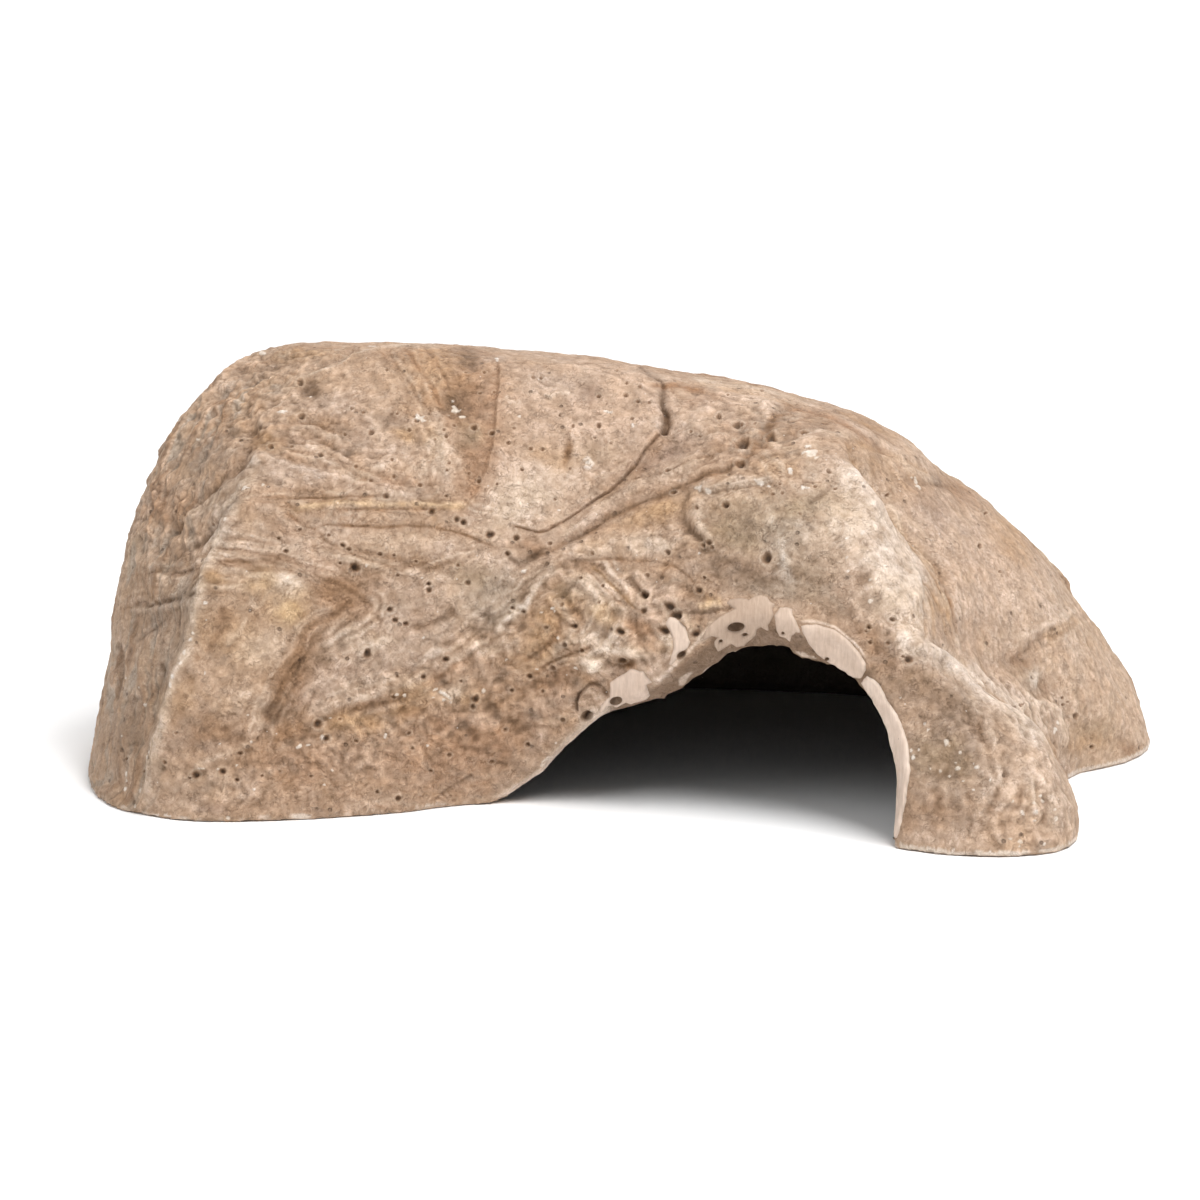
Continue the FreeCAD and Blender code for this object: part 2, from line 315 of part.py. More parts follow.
# Boxes that divide the lip band into the patches: x, y, z of the low corner, then size.
PATCHES = [
    ("lip_patch_left", (-5.8, -54.2, 20.0, 11.2, 9.6, 14.0)),
    ("lip_patch_tongue", (8.2, -59.2, 33.0, 7.6, 5.2, 12.0)),
    ("lip_patch_crown", (17.2, -62.7, 41.5, 16.0, 6.6, 11.0)),
    ("lip_patch_block", (34.0, -65.7, 42.0, 5.2, 6.2, 10.0)),
    ("lip_patch_right", (40.0, -74.2, 35.2, 18.0, 13.5, 16.0)),
    ("jamb_patch", (48.8, -84.2, 0.0, 18.0, 18.0, 34.4)),
]

doc = FreeCAD.newDocument("cave_ornament")
sheet = doc.addObject("Spreadsheet::Sheet", "params")


# ---------------------------------------------------------------- the sheet
def column(index):
    """Letters of a column, counted from 0, up to AZ."""
    return ("A" if index >= 26 else "") + chr(ord("A") + index % 26)


def numbered(prefix, values):
    return [(f"{prefix}_{j:02d}", value) for j, value in enumerate(values)]


def suffixed(prefix, suffixes, values):
    return [(f"{prefix}_{suffix}", value) for suffix, value in zip(suffixes, values)]


def table_rows():
    """Rows of the tables, each a title and its (alias, value) cells."""
    rows = [("level heights", numbered("level", LEVEL_Z))]
    ring_tables = (
        ("outside", "outx", OUTSIDE_X), ("outside", "outy", OUTSIDE_Y),
        ("hollow step", "stepx", STEP_X), ("hollow step", "stepy", STEP_Y),
    )
    for title, prefix, table in ring_tables:
        for k, values in enumerate(table):
            rows.append((f"{title} {prefix[-1]}, level {k}",
                         numbered(f"{prefix}_{k:02d}", values)))
    rows.append(("hollow top ring x", numbered("capx", CAP_X)))
    rows.append(("hollow top ring y", numbered("capy", CAP_Y)))
    for k, values in enumerate(LIP):
        rows.append((f"lip {k}, outside and inside x y z",
                     suffixed(f"lip_{k:02d}", ("ox", "oy", "oz", "ix", "iy", "iz"), values)))
    for name, values in PATCHES:
        rows.append((f"{name}, low x y z and size x y z",
                     suffixed(name, ("lx", "ly", "lz", "sx", "sy", "sz"), values)))
    return rows


def fill_sheet():
    rows = [(name, [(name, value)]) for name, value, _ in DRIVING]
    rows += [(name, [(name, formula)]) for name, formula in SCALES]
    rows += table_rows()
    for row, (title, cells) in enumerate(rows, 1):
        sheet.set(f"A{row}", title)
        for j, (alias, value) in enumerate(cells, 1):
            cell = f"{column(j)}{row}"
            sheet.set(cell, value if isinstance(value, str) else f"{value:.6g}")
            sheet.setAlias(cell, alias)
    for row, (_, _, note) in enumerate(DRIVING, 1):
        sheet.set(f"C{row}", note)
    doc.recompute()


# ---------------------------------------------------------------- rings and lofts
# The places of a ring's corners along one axis are pairs: value, expression.
def outside_places(axis, k):
    aliases = [f"out{axis}_{k:02d}_{j:02d}" for j in range(len(CAP_X))]
    return [(getattr(sheet, alias), f"params.{alias}") for alias in aliases]


def hollow_places(axis, k):
    places = []
    for j, (value, text) in enumerate(outside_places(axis, k)):
        step = f"step{axis}_{k:02d}_{j:02d}"
        places.append((value + sheet.wall * getattr(sheet, step),
                       f"({text} + params.wall * params.{step})"))
    return places


def cap_places(axis):
    aliases = [f"cap{axis}_{j:02d}" for j in range(len(CAP_X))]
    return [(getattr(sheet, alias), f"params.{alias}") for alias in aliases]


def level_text(k):
    return f"params.level_{k:02d} * params.scale_z"


def ring(body, name, x_places, y_places, z_text):
    """A closed polygon on its own level, with each corner held by two distances."""
    sketch = body.newObject("Sketcher::SketchObject", name)
    floor = next(item for item in body.Origin.OriginFeatures if item.Role == "XY_Plane")
    sketch.AttachmentSupport = (floor, [""])
    sketch.MapMode = "FlatFace"
    count = len(x_places)
    corners = [Vector(sheet.datum_x + x, sheet.datum_y + y, 0)
               for (x, _), (y, _) in zip(x_places, y_places)]
    lines = [Part.LineSegment(corners[j], corners[(j + 1) % count]) for j in range(count)]
    sketch.addGeometry(lines, False)
    held = [Sketcher.Constraint("Coincident", j, 2, (j + 1) % count, 1) for j in range(count)]
    for j, corner in enumerate(corners):
        held.append(Sketcher.Constraint("DistanceX", -1, 1, j, 1, corner.x))
        held.append(Sketcher.Constraint("DistanceY", -1, 1, j, 1, corner.y))
    sketch.addConstraint(held)
    for axis, offset, places in (("x", 0, x_places), ("y", 1, y_places)):
        for j, (_, text) in enumerate(places):
            sketch.setExpression(f"Constraints[{count + 2 * j + offset}]",
                                 f"params.datum_{axis} + {text} * params.scale_{axis}")
        sketch.setExpression(f".AttachmentOffset.Base.{axis}", f"-params.datum_{axis}")
    sketch.setExpression(".AttachmentOffset.Base.z", z_text)
    return sketch


def ruled_loft(body, kind, name, rings):
    doc.recompute()
    loft = body.newObject(kind, name)
    loft.Profile = rings[0]
    loft.Sections = rings[1:]
    loft.Ruled = True
    loft.Closed = False
    return loft


def rock_wall():
    """The whole casting, before the entrance is cut."""
    body = doc.addObject("PartDesign::Body", "rock_wall")
    rings = [ring(body, f"outside_{k:02d}", outside_places("x", k), outside_places("y", k),
                  level_text(k)) for k in range(len(LEVEL_Z))]
    rock = ruled_loft(body, "PartDesign::AdditiveLoft", "rock_outside", rings)
    doc.recompute()

    rings = [ring(body, f"hollow_{k:02d}", hollow_places("x", k), hollow_places("y", k),
                  level_text(k) if k else "-params.base_overrun") for k in range(len(STEP_X))]
    rings.append(ring(body, "hollow_top", cap_places("x"), cap_places("y"),
                      "params.cavity_top * params.scale_z"))
    body.Tip = ruled_loft(body, "PartDesign::SubtractiveLoft", "rock_hollow", rings)
    doc.recompute()

    # A hollow that fails to cut leaves too large a share of the rock, or almost none.
    share = body.Shape.Volume / rock.Shape.Volume
    if not 0.15 < share < 0.6:
        raise RuntimeError(f"the hollow did not cut: {share:.2f} of the rock is left")
    return body


# ---------------------------------------------------------------- the entrance
def lip_points(side):
    """The lip's points on one side of the wall: o outside, i inside."""
    return [Vector(*(getattr(sheet, f"lip_{k:02d}_{side}{axis}")
                     * getattr(sheet, f"scale_{axis}") for axis in "xyz"))
            for k in range(len(LIP))]


def triangle(a, b, c):
    return Part.Face(Part.makePolygon([a, b, c, a]))


def lip_cutter(name, inset):
    """Closed faceted plug that fills the entrance, shrunk by inset square to the lip face."""
    outer, inner = lip_points("o"), lip_points("i")
    middle = Vector(sheet.apex_in_x, sheet.apex_in_y - sheet.middle_back, 0)
    out_ring, in_ring = [], []
    for k in range(len(outer)):
        along = outer[min(k + 1, len(outer) - 1)] - outer[max(k - 1, 0)]
        across = inner[k] - outer[k]
        square = along.cross(across)
        square.normalize()
        if square.dot(middle - outer[k]) < 0:
            square = square * -1
        across.normalize()
        out_ring.append(outer[k] + square * inset - across * sheet.reach_out)
        in_ring.append(inner[k] + square * inset + across * sheet.reach_in)

    # Both feet are carried down below the floor.
    for points in (out_ring, in_ring):
        first, final = points[0], points[-1]
        points.insert(0, Vector(first.x, first.y, -sheet.sill_drop))
        points.append(Vector(final.x, final.y, -sheet.sill_drop))

    # Two triangles for each side of the plug, and a fan to an apex at each end.
    apex_out = Vector(sheet.apex_out_x, sheet.apex_out_y, sheet.apex_out_z)
    apex_in = Vector(sheet.apex_in_x, sheet.apex_in_y, sheet.apex_in_z)
    faces = []
    for k in range(len(out_ring)):
        n = (k + 1) % len(out_ring)
        faces += [
            triangle(out_ring[k], out_ring[n], in_ring[n]),
            triangle(out_ring[k], in_ring[n], in_ring[k]),
            triangle(out_ring[n], out_ring[k], apex_out),
            triangle(in_ring[k], in_ring[n], apex_in),
        ]
    solid = Part.makeSolid(Part.makeShell(faces))
    # The faces may come out facing inwards.
    if solid.Volume < 0:
        solid.reverse()
    cutter = doc.addObject("Part::Feature", name)
    cutter.Shape = solid
    return cutter


def boolean(kind, name, base, tool):
    result = doc.addObject(f"Part::{kind}", name)
    result.Base = base
    result.Tool = tool
    return result


def lip_patch(name, band):
    """The part of the lip band that lies in the patch's box."""
    box = doc.addObject("Part::Box", name + "_box")
    for size, axis in (("Length", "x"), ("Width", "y"), ("Height", "z")):
        box.setExpression(size, f"params.{name}_s{axis}")
        box.setExpression(f".Placement.Base.{axis}", f"params.{name}_l{axis}")
    return boolean("Common", name, band, box)


# ---------------------------------------------------------------- checks and files
def check(pieces):
    problems = []
    for item in doc.Objects:
        state = [str(s) for s in item.State]
        if "Invalid" in state or "Error" in state:
            problems.append(f"{item.Name}: {', '.join(state)}")
    for piece in pieces:
        if piece.Shape.isNull() or not piece.Shape.isValid():
            problems.append(f"{piece.Label}: bad shape")
        elif not piece.Shape.Solids:
            problems.append(f"{piece.Label}: no solid")
    if problems:
        raise RuntimeError("; ".join(problems))


fill_sheet()
wall = rock_wall()
plug = lip_cutter("entrance_plug", 0.0)
core = lip_cutter("entrance_core", sheet.patch_thick)
doc.recompute()

cast_shell = boolean("Cut", "cast_shell", wall, plug)
# The piece of wall that the plug takes out, less its core, is the band the patches lie in.
door_blank = boolean("Common", "door_blank", wall, plug)
lip_band = boolean("Cut", "lip_band", door_blank, core)
doc.recompute()
pieces = [cast_shell] + [lip_patch(name, lip_band) for name, _ in PATCHES]
doc.recompute()
check(pieces)

os.makedirs("parts", exist_ok=True)
for piece in pieces:
    piece.Shape.exportStep(f"parts/{piece.Label}.step")
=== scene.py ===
# A painted resin cave ornament: a layered rock with an entrance in its front and a hollow inside.
# It stands on z = 0.  The front faces -y, x runs to the right and z up.  Shapes are worked out
# in millimetres and meshes are written in metres.
import math
import bpy
import numpy as np
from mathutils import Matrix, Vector
from mathutils.bvhtree import BVHTree


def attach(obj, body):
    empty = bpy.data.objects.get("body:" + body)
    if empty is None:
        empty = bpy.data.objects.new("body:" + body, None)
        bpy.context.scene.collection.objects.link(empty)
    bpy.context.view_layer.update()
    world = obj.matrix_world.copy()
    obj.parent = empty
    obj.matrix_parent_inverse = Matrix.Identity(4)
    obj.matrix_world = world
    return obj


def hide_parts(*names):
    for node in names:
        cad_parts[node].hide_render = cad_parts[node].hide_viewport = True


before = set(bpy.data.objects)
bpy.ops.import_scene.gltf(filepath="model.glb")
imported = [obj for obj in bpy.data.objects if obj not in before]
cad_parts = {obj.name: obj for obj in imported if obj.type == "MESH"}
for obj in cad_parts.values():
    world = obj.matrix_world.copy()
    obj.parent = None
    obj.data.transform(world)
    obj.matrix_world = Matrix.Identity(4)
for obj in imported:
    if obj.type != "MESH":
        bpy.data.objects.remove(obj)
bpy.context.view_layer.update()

NOISE_SEED = 7
BACK_SEED = 23                                    # places of the features on the back
VIEW_TILT = math.radians(12)                      # the camera looks down by this much
EYE = np.array([-6.07, -978.38, 248.61])
VIEW_AXIS = np.array([0.0, math.cos(VIEW_TILT), -math.sin(VIEW_TILT)])
VIEW_UP = np.array([0.0, math.sin(VIEW_TILT), math.cos(VIEW_TILT)])

# Features of the front are placed as the camera sees them, on an upright square plane across
# its axis: mm to the right of and below the plane's upper left corner.
PLANE_DISTANCE = 4100.0                           # from the eye
PLANE_WIDTH = 1200
SENSOR_WIDTH = 36.0


def project(points):
    """Places on the view plane."""
    ray = points - EYE
    ahead = ray @ VIEW_AXIS
    middle = PLANE_WIDTH / 2
    return np.stack([middle + PLANE_DISTANCE * ray[:, 0] / ahead,
                     middle - PLANE_DISTANCE * (ray @ VIEW_UP) / ahead], 1)


# ------------------------------------------------------------------ reading tables
def table(text):
    """Array of rows parted by spaces, with their numbers parted by commas."""
    return np.array([[float(number) for number in row.split(",")] for row in text.split()])


def ovals(text):
    """Rows of x, y, half length, half height and angle in degrees, which is 0 if left out."""
    return [([float(number) for number in row.split(",")] + [0.0])[:5] for row in text.split()]


def courses(text):
    """Rows of settings and, after a colon, the places of a course."""
    for row in text.strip().splitlines():
        if row[0] != "#":
            settings, course = row.split(" : ")
            yield settings.split(), table(course)


def line_features(text):
    for row, course in courses(text):
        row += ["-", "0", "0", "0"][len(row) - 3:]
        kind, width, height, paint, *amounts = row
        yield (kind, course, float(width), float(height), paint, *map(float, amounts))


# ------------------------------------------------------------------ the rock's outer form
# Heights of the level rings, mm.
LEVELS = [0, 3, 6, 9.5, 13, 17, 21, 25, 29, 33, 37, 41, 45, 49, 53, 57, 61, 65, 69, 73, 76.5, 80,
          83, 86, 88.5, 91, 93, 95, 96.5, 97.8, 98.8, 99.6, 100.2]
SKIRT_Z, TOP_Z = -12.0, 101.0
# The rings from the lowest up: x and y of each corner in tenths of a mm, counter-clockwise.
RINGS = """
1303 117 1321 188 1313 254 1288 337 1253 412 1205 481 1144 545 1076 599 996 648 911 688
815 726 720 760 622 787 521 812 422 831 319 847 219 860 123 868 27 872 -80 873
-189 873 -285 869 -377 862 -474 851 -574 835 -677 814 -771 792 -861 762 -940 722 -1015 673
-1083 613 -1143 547 -1193 472 -1233 394 -1264 306 -1288 210 -1305 114 -1314 21 -1313 -72 -1299 -166
-1280 -264 -1254 -351 -1222 -421 -1178 -471 -1112 -517 -1040 -555 -974 -567 -884 -567 -795 -557 -696 -536
-599 -511 -517 -482 -441 -438 -375 -411 -304 -407 -225 -418 -139 -445 -44 -483 45 -524 136 -564
228 -605 322 -647 415 -688 502 -722 569 -759 633 -812 700 -848 776 -869 849 -874 916 -861
969 -835 1006 -793 1030 -732 1043 -654 1043 -578 1023 -491 1013 -408 1021 -330 1042 -244 1074 -165
1110 -109 1169 -67 1229 -16 1273 45
1301 115 1317 187 1304 261 1278 332 1244 402 1196 474 1140 535 1064 591 985 637 904 676
806 717 717 753 620 783 520 808 416 827 321 843 223 854 122 863 23 868 -77 871
-183 869 -283 863 -378 856 -476 846 -574 831 -672 811 -767 788 -859 756 -938 717 -1011 670
-1080 611 -1140 543 -1189 469 -1229 389 -1261 301 -1285 208 -1299 116 -1306 20 -1305 -73 -1295 -167
-1278 -260 -1252 -346 -1216 -415 -1169 -466 -1108 -511 -1041 -548 -969 -566 -883 -564 -794 -550 -697 -532
-604 -507 -520 -479 -444 -445 -374 -419 -302 -409 -221 -419 -132 -447 -42 -484 45 -523 139 -565
225 -603 315 -644 411 -687 498 -722 570 -762 633 -812 704 -847 777 -863 846 -865 911 -856
965 -834 1006 -790 1030 -729 1043 -654 1036 -578 1023 -492 1013 -407 1021 -326 1042 -245 1073 -167
1115 -107 1173 -68 1227 -16 1270 48
1296 118 1310 189 1296 267 1269 332 1235 397 1188 465 1131 526 1060 578 974 627 895 667
803 708 708 746 621 776 522 800 414 822 318 837 227 849 125 857 20 863 -77 864
-178 863 -280 859 -380 852 -477 842 -574 826 -669 807 -765 783 -854 751 -935 711 -1008 662
-1076 606 -1134 541 -1183 466 -1224 384 -1256 296 -1279 205 -1293 114 -1299 22 -1298 -72 -1289 -166
-1272 -259 -1245 -340 -1209 -409 -1163 -462 -1105 -507 -1038 -543 -965 -560 -882 -557 -794 -543 -699 -524
-609 -500 -523 -475 -445 -446 -371 -423 -297 -416 -217 -420 -130 -448 -41 -485 45 -524 138 -566
225 -604 312 -643 404 -685 493 -724 567 -764 632 -812 704 -844 778 -858 846 -858 909 -854
963 -829 1000 -788 1025 -726 1039 -654 1036 -575 1023 -492 1013 -408 1021 -324 1042 -244 1072 -170
1117 -108 1177 -67 1226 -13 1265 52
1281 124 1298 194 1288 269 1262 329 1227 388 1179 454 1122 513 1051 566 967 617 888 657
794 699 703 737 617 767 523 791 413 815 316 832 231 842 129 852 20 857 -77 858
-177 856 -280 852 -377 845 -476 835 -575 821 -668 801 -762 776 -851 744 -929 705 -1003 657
-1070 602 -1128 536 -1176 463 -1218 379 -1250 294 -1273 205 -1287 112 -1294 21 -1292 -70 -1282 -166
-1263 -257 -1237 -336 -1203 -401 -1157 -455 -1098 -502 -1035 -537 -964 -555 -881 -550 -795 -535 -701 -516
-612 -492 -526 -470 -445 -445 -372 -428 -295 -417 -213 -423 -128 -451 -40 -486 46 -526 139 -569
224 -606 305 -643 398 -685 487 -725 562 -765 633 -812 706 -841 777 -854 845 -855 907 -847
956 -825 992 -782 1016 -720 1027 -653 1027 -576 1018 -494 1012 -410 1019 -326 1040 -246 1069 -172
1117 -109 1176 -68 1220 -8 1253 58
1260 129 1281 197 1278 270 1252 325 1217 380 1171 440 1111 501 1041 553 957 605 880 644
788 689 697 728 614 758 523 783 418 807 308 826 227 836 134 844 24 851 -77 852
-175 851 -278 846 -378 841 -477 831 -573 815 -664 796 -757 771 -845 738 -925 698 -998 652
-1065 597 -1122 532 -1169 459 -1210 377 -1243 291 -1266 201 -1280 110 -1287 20 -1285 -71 -1273 -164
-1254 -250 -1228 -328 -1194 -393 -1149 -450 -1094 -496 -1032 -531 -962 -548 -881 -544 -795 -527 -702 -508
-614 -486 -528 -465 -446 -445 -369 -430 -292 -419 -212 -425 -123 -453 -39 -486 45 -528 136 -569
221 -606 302 -642 393 -683 484 -728 560 -768 632 -810 706 -837 775 -846 844 -846 902 -837
948 -816 979 -775 1002 -717 1010 -649 1014 -577 1007 -496 1003 -409 1013 -325 1033 -244 1062 -168
1112 -109 1170 -63 1210 -1 1239 65
1234 137 1258 202 1263 267 1237 321 1202 370 1159 422 1097 484 1028 537 949 588 872 632
780 678 692 718 610 749 521 775 419 798 305 819 223 830 138 837 29 843 -77 844
-175 843 -277 840 -379 833 -478 823 -572 809 -663 788 -753 763 -841 730 -919 691 -992 646
-1058 591 -1113 529 -1161 455 -1202 375 -1235 288 -1258 198 -1273 109 -1278 18 -1276 -72 -1264 -159
-1243 -244 -1217 -320 -1184 -384 -1140 -441 -1088 -489 -1028 -525 -959 -541 -882 -537 -796 -519 -705 -500
-615 -478 -529 -459 -447 -444 -366 -432 -289 -425 -209 -428 -122 -454 -39 -487 46 -529 135 -569
218 -605 298 -641 388 -685 477 -729 557 -770 631 -806 704 -830 775 -836 839 -830 895 -817
933 -797 962 -765 980 -711 986 -646 988 -575 982 -493 982 -407 994 -321 1015 -239 1047 -161
1106 -105 1160 -56 1195 8 1218 74
1209 147 1233 206 1239 264 1217 312 1185 357 1146 404 1083 466 1012 522 939 571 862 618
771 667 688 707 605 740 520 766 416 790 302 811 222 821 141 829 30 834 -75 836
-176 834 -275 832 -378 825 -476 817 -568 802 -658 782 -747 756 -833 723 -912 684 -986 638
-1052 584 -1107 522 -1154 449 -1193 371 -1226 285 -1249 197 -1265 108 -1271 19 -1267 -69 -1255 -155
-1232 -238 -1204 -312 -1171 -376 -1129 -433 -1081 -482 -1023 -517 -959 -534 -882 -529 -795 -512 -705 -493
-619 -473 -531 -455 -449 -440 -368 -430 -289 -427 -209 -430 -122 -456 -36 -490 50 -531 134 -571
213 -605 293 -642 387 -685 474 -732 556 -772 634 -800 706 -819 771 -822 830 -811 879 -795
911 -774 935 -745 951 -702 953 -643 953 -575 940 -495 938 -398 961 -310 992 -229 1036 -154
1100 -101 1148 -47 1174 17 1194 82
1186 156 1206 209 1211 256 1193 303 1164 344 1126 385 1066 445 997 504 928 554 855 602
766 654 680 697 598 730 515 757 415 781 302 802 215 813 142 820 38 826 -75 829
-174 826 -275 823 -375 819 -473 810 -567 794 -656 773 -743 748 -828 715 -905 677 -978 632
-1044 578 -1101 514 -1148 442 -1185 365 -1218 281 -1242 193 -1257 107 -1264 19 -1259 -67 -1244 -151
-1221 -232 -1192 -304 -1158 -367 -1119 -424 -1074 -474 -1020 -509 -954 -526 -880 -523 -797 -506 -708 -487
-621 -468 -533 -449 -450 -437 -369 -427 -288 -427 -206 -435 -120 -458 -34 -494 54 -534 134 -572
211 -605 291 -642 384 -688 472 -732 554 -769 632 -788 703 -807 764 -806 810 -793 852 -774
883 -751 901 -719 911 -681 913 -636 912 -575 893 -497 899 -393 934 -301 977 -220 1029 -148
1091 -96 1131 -36 1153 25 1171 88
1162 164 1178 212 1182 253 1167 293 1141 330 1108 371 1050 427 983 485 921 533 846 586
759 640 675 686 592 721 514 747 412 774 298 794 212 804 142 811 40 817 -69 819
-172 819 -274 814 -375 810 -473 802 -563 786 -654 766 -741 739 -823 708 -899 670 -971 625
-1036 572 -1093 509 -1140 435 -1178 359 -1210 276 -1235 191 -1249 106 -1257 20 -1252 -65 -1235 -147
-1209 -226 -1179 -296 -1147 -358 -1110 -415 -1067 -465 -1014 -500 -951 -518 -877 -516 -795 -498 -709 -481
-622 -463 -534 -446 -450 -434 -369 -427 -289 -427 -204 -437 -118 -462 -28 -498 57 -538 134 -572
209 -605 289 -640 382 -687 469 -730 553 -760 634 -775 696 -794 740 -792 783 -776 817 -754
844 -729 860 -696 864 -656 865 -614 862 -568 843 -494 867 -383 914 -291 962 -214 1022 -144
1081 -88 1111 -26 1131 32 1149 99
1139 168 1150 212 1152 246 1142 280 1118 318 1086 355 1032 408 968 464 909 513 835 570
753 626 671 673 585 712 508 739 409 766 295 785 212 795 143 801 42 808 -68 811
-170 811 -274 806 -374 802 -470 793 -562 779 -653 756 -737 731 -818 699 -892 662 -963 619
-1028 566 -1086 503 -1131 432 -1169 354 -1201 272 -1226 187 -1242 102 -1250 20 -1247 -62 -1229 -143
-1201 -219 -1169 -288 -1134 -351 -1098 -407 -1057 -456 -1009 -491 -948 -509 -876 -507 -795 -492 -710 -475
-624 -457 -534 -440 -451 -428 -369 -427 -289 -427 -204 -438 -116 -468 -27 -504 57 -539 132 -571
207 -604 291 -642 380 -687 469 -723 554 -746 627 -758 665 -772 709 -779 749 -760 777 -732
798 -704 809 -672 810 -635 803 -595 796 -550 799 -473 841 -373 896 -284 951 -207 1011 -141
1062 -82 1090 -20 1109 39 1126 105
1114 175 1121 213 1121 241 1114 269 1096 301 1064 337 1011 389 954 445 894 496 823 553
742 612 663 662 582 701 505 727 405 756 291 776 212 785 143 791 40 798 -66 802
-168 802 -272 799 -373 793 -468 784 -559 770 -649 749 -734 722 -813 691 -887 653 -957 610
-1023 558 -1077 496 -1123 424 -1161 348 -1192 267 -1217 184 -1234 101 -1247 20 -1244 -63 -1222 -142
-1190 -215 -1156 -281 -1121 -343 -1087 -399 -1048 -447 -1003 -480 -946 -499 -876 -499 -797 -484 -710 -468
-624 -452 -533 -437 -450 -427 -372 -419 -290 -420 -203 -437 -116 -475 -23 -511 55 -539 130 -568
205 -602 292 -642 380 -687 468 -714 550 -727 608 -736 646 -749 682 -760 713 -744 731 -712
744 -679 752 -647 753 -612 754 -571 759 -527 779 -456 826 -364 882 -278 939 -199 1000 -132
1042 -74 1065 -15 1086 48 1102 115
1087 180 1091 213 1090 236 1085 257 1070 286 1038 323 988 373 935 426 874 477 807 539
731 599 654 649 577 688 500 717 397 746 287 765 212 774 143 781 39 788 -64 792
-169 792 -274 789 -373 784 -465 775 -556 762 -643 741 -727 714 -806 683 -881 645 -949 601
-1013 550 -1067 490 -1113 420 -1151 344 -1182 262 -1206 181 -1225 99 -1240 21 -1237 -61 -1213 -137
-1180 -208 -1145 -273 -1109 -336 -1075 -390 -1040 -435 -997 -468 -941 -488 -872 -490 -795 -477 -712 -461
-622 -447 -531 -431 -453 -422 -374 -417 -291 -417 -198 -435 -108 -477 -20 -511 56 -536 128 -564
205 -598 293 -640 380 -681 468 -702 539 -709 577 -713 615 -720 655 -733 686 -715 697 -685
705 -655 714 -624 722 -590 732 -552 743 -512 769 -443 815 -357 867 -272 925 -191 984 -123
1020 -64 1041 -8 1063 57 1079 127
1059 182 1059 208 1057 229 1052 249 1042 273 1013 307 966 354 912 406 855 462 788 523
720 585 648 635 571 675 492 705 391 734 288 753 212 762 143 769 40 776 -65 782
-170 782 -275 779 -372 775 -463 767 -553 752 -641 731 -723 705 -801 673 -875 636 -944 592
-1005 542 -1057 483 -1104 412 -1141 337 -1171 256 -1195 177 -1215 98 -1234 22 -1229 -59 -1203 -132
-1169 -201 -1134 -264 -1098 -327 -1064 -381 -1030 -423 -989 -457 -936 -477 -868 -480 -794 -469 -711 -455
-619 -439 -529 -426 -456 -417 -377 -412 -289 -411 -192 -432 -101 -474 -16 -505 57 -527 129 -555
207 -592 296 -632 384 -668 461 -684 517 -689 556 -691 595 -697 632 -706 663 -693 674 -661
684 -631 695 -602 707 -573 720 -539 737 -498 765 -436 807 -352 854 -265 909 -182 963 -116
995 -54 1017 3 1038 65 1053 132
1026 177 1024 205 1022 224 1018 239 1010 258 991 288 946 331 888 383 830 445 772 508
706 570 639 620 563 662 486 691 384 720 290 739 211 749 139 756 43 765 -64 770
-168 772 -275 769 -370 764 -459 756 -550 743 -638 722 -719 696 -796 665 -871 626 -938 582
-996 531 -1048 473 -1093 405 -1131 332 -1161 253 -1183 174 -1205 97 -1227 21 -1219 -55 -1191 -126
-1157 -193 -1121 -258 -1086 -318 -1053 -369 -1019 -413 -981 -445 -930 -465 -865 -470 -794 -459 -712 -446
-616 -431 -528 -418 -459 -411 -380 -406 -286 -404 -187 -425 -94 -466 -12 -491 60 -512 131 -541
212 -581 300 -620 383 -649 453 -663 494 -666 533 -670 571 -672 610 -680 644 -667 656 -635
667 -606 680 -579 694 -551 710 -521 729 -484 758 -426 795 -343 835 -256 888 -174 938 -107
968 -43 989 13 1009 70 1024 131
993 174 991 197 988 212 983 227 976 245 959 271 919 311 864 361 807 423 751 489
688 553 625 605 554 647 476 677 377 707 289 725 211 736 137 744 40 753 -64 759
-169 759 -273 757 -366 753 -456 746 -549 732 -634 712 -714 686 -790 656 -863 618 -929 573
-986 521 -1038 463 -1084 397 -1120 325 -1149 248 -1170 171 -1196 93 -1220 20 -1209 -52 -1180 -119
-1143 -187 -1106 -250 -1072 -308 -1038 -359 -1006 -400 -970 -432 -923 -453 -861 -460 -793 -449 -705 -435
-609 -421 -533 -410 -461 -404 -378 -397 -283 -394 -181 -415 -86 -450 -9 -470 64 -490 139 -525
220 -566 304 -602 383 -628 442 -639 481 -643 519 -645 559 -648 596 -653 625 -644 636 -617
646 -590 659 -561 676 -529 693 -496 710 -464 740 -409 774 -333 814 -248 868 -163 910 -96
936 -33 958 25 979 80 992 136
953 150 951 187 945 210 940 227 935 241 925 259 900 289 840 338 781 401 727 470
671 536 611 587 540 629 465 660 372 690 285 709 210 722 133 732 41 740 -61 746
-171 746 -272 746 -365 742 -455 735 -547 723 -630 702 -709 678 -786 647 -857 609 -920 563
-976 511 -1028 453 -1072 388 -1108 320 -1135 244 -1158 165 -1187 92 -1214 20 -1197 -48 -1165 -113
-1128 -178 -1091 -239 -1057 -296 -1025 -345 -993 -386 -959 -418 -915 -441 -858 -447 -790 -438 -703 -423
-611 -410 -536 -401 -466 -394 -378 -387 -280 -381 -176 -400 -79 -428 -1 -445 69 -465 147 -503
229 -547 309 -580 381 -601 421 -610 460 -615 499 -619 537 -623 575 -626 608 -619 621 -591
629 -564 640 -535 653 -505 667 -470 683 -436 707 -386 746 -312 790 -234 842 -152 878 -86
899 -21 920 35 937 77 947 112
903 149 903 181 902 203 899 219 894 233 888 246 872 268 816 313 751 382 701 451
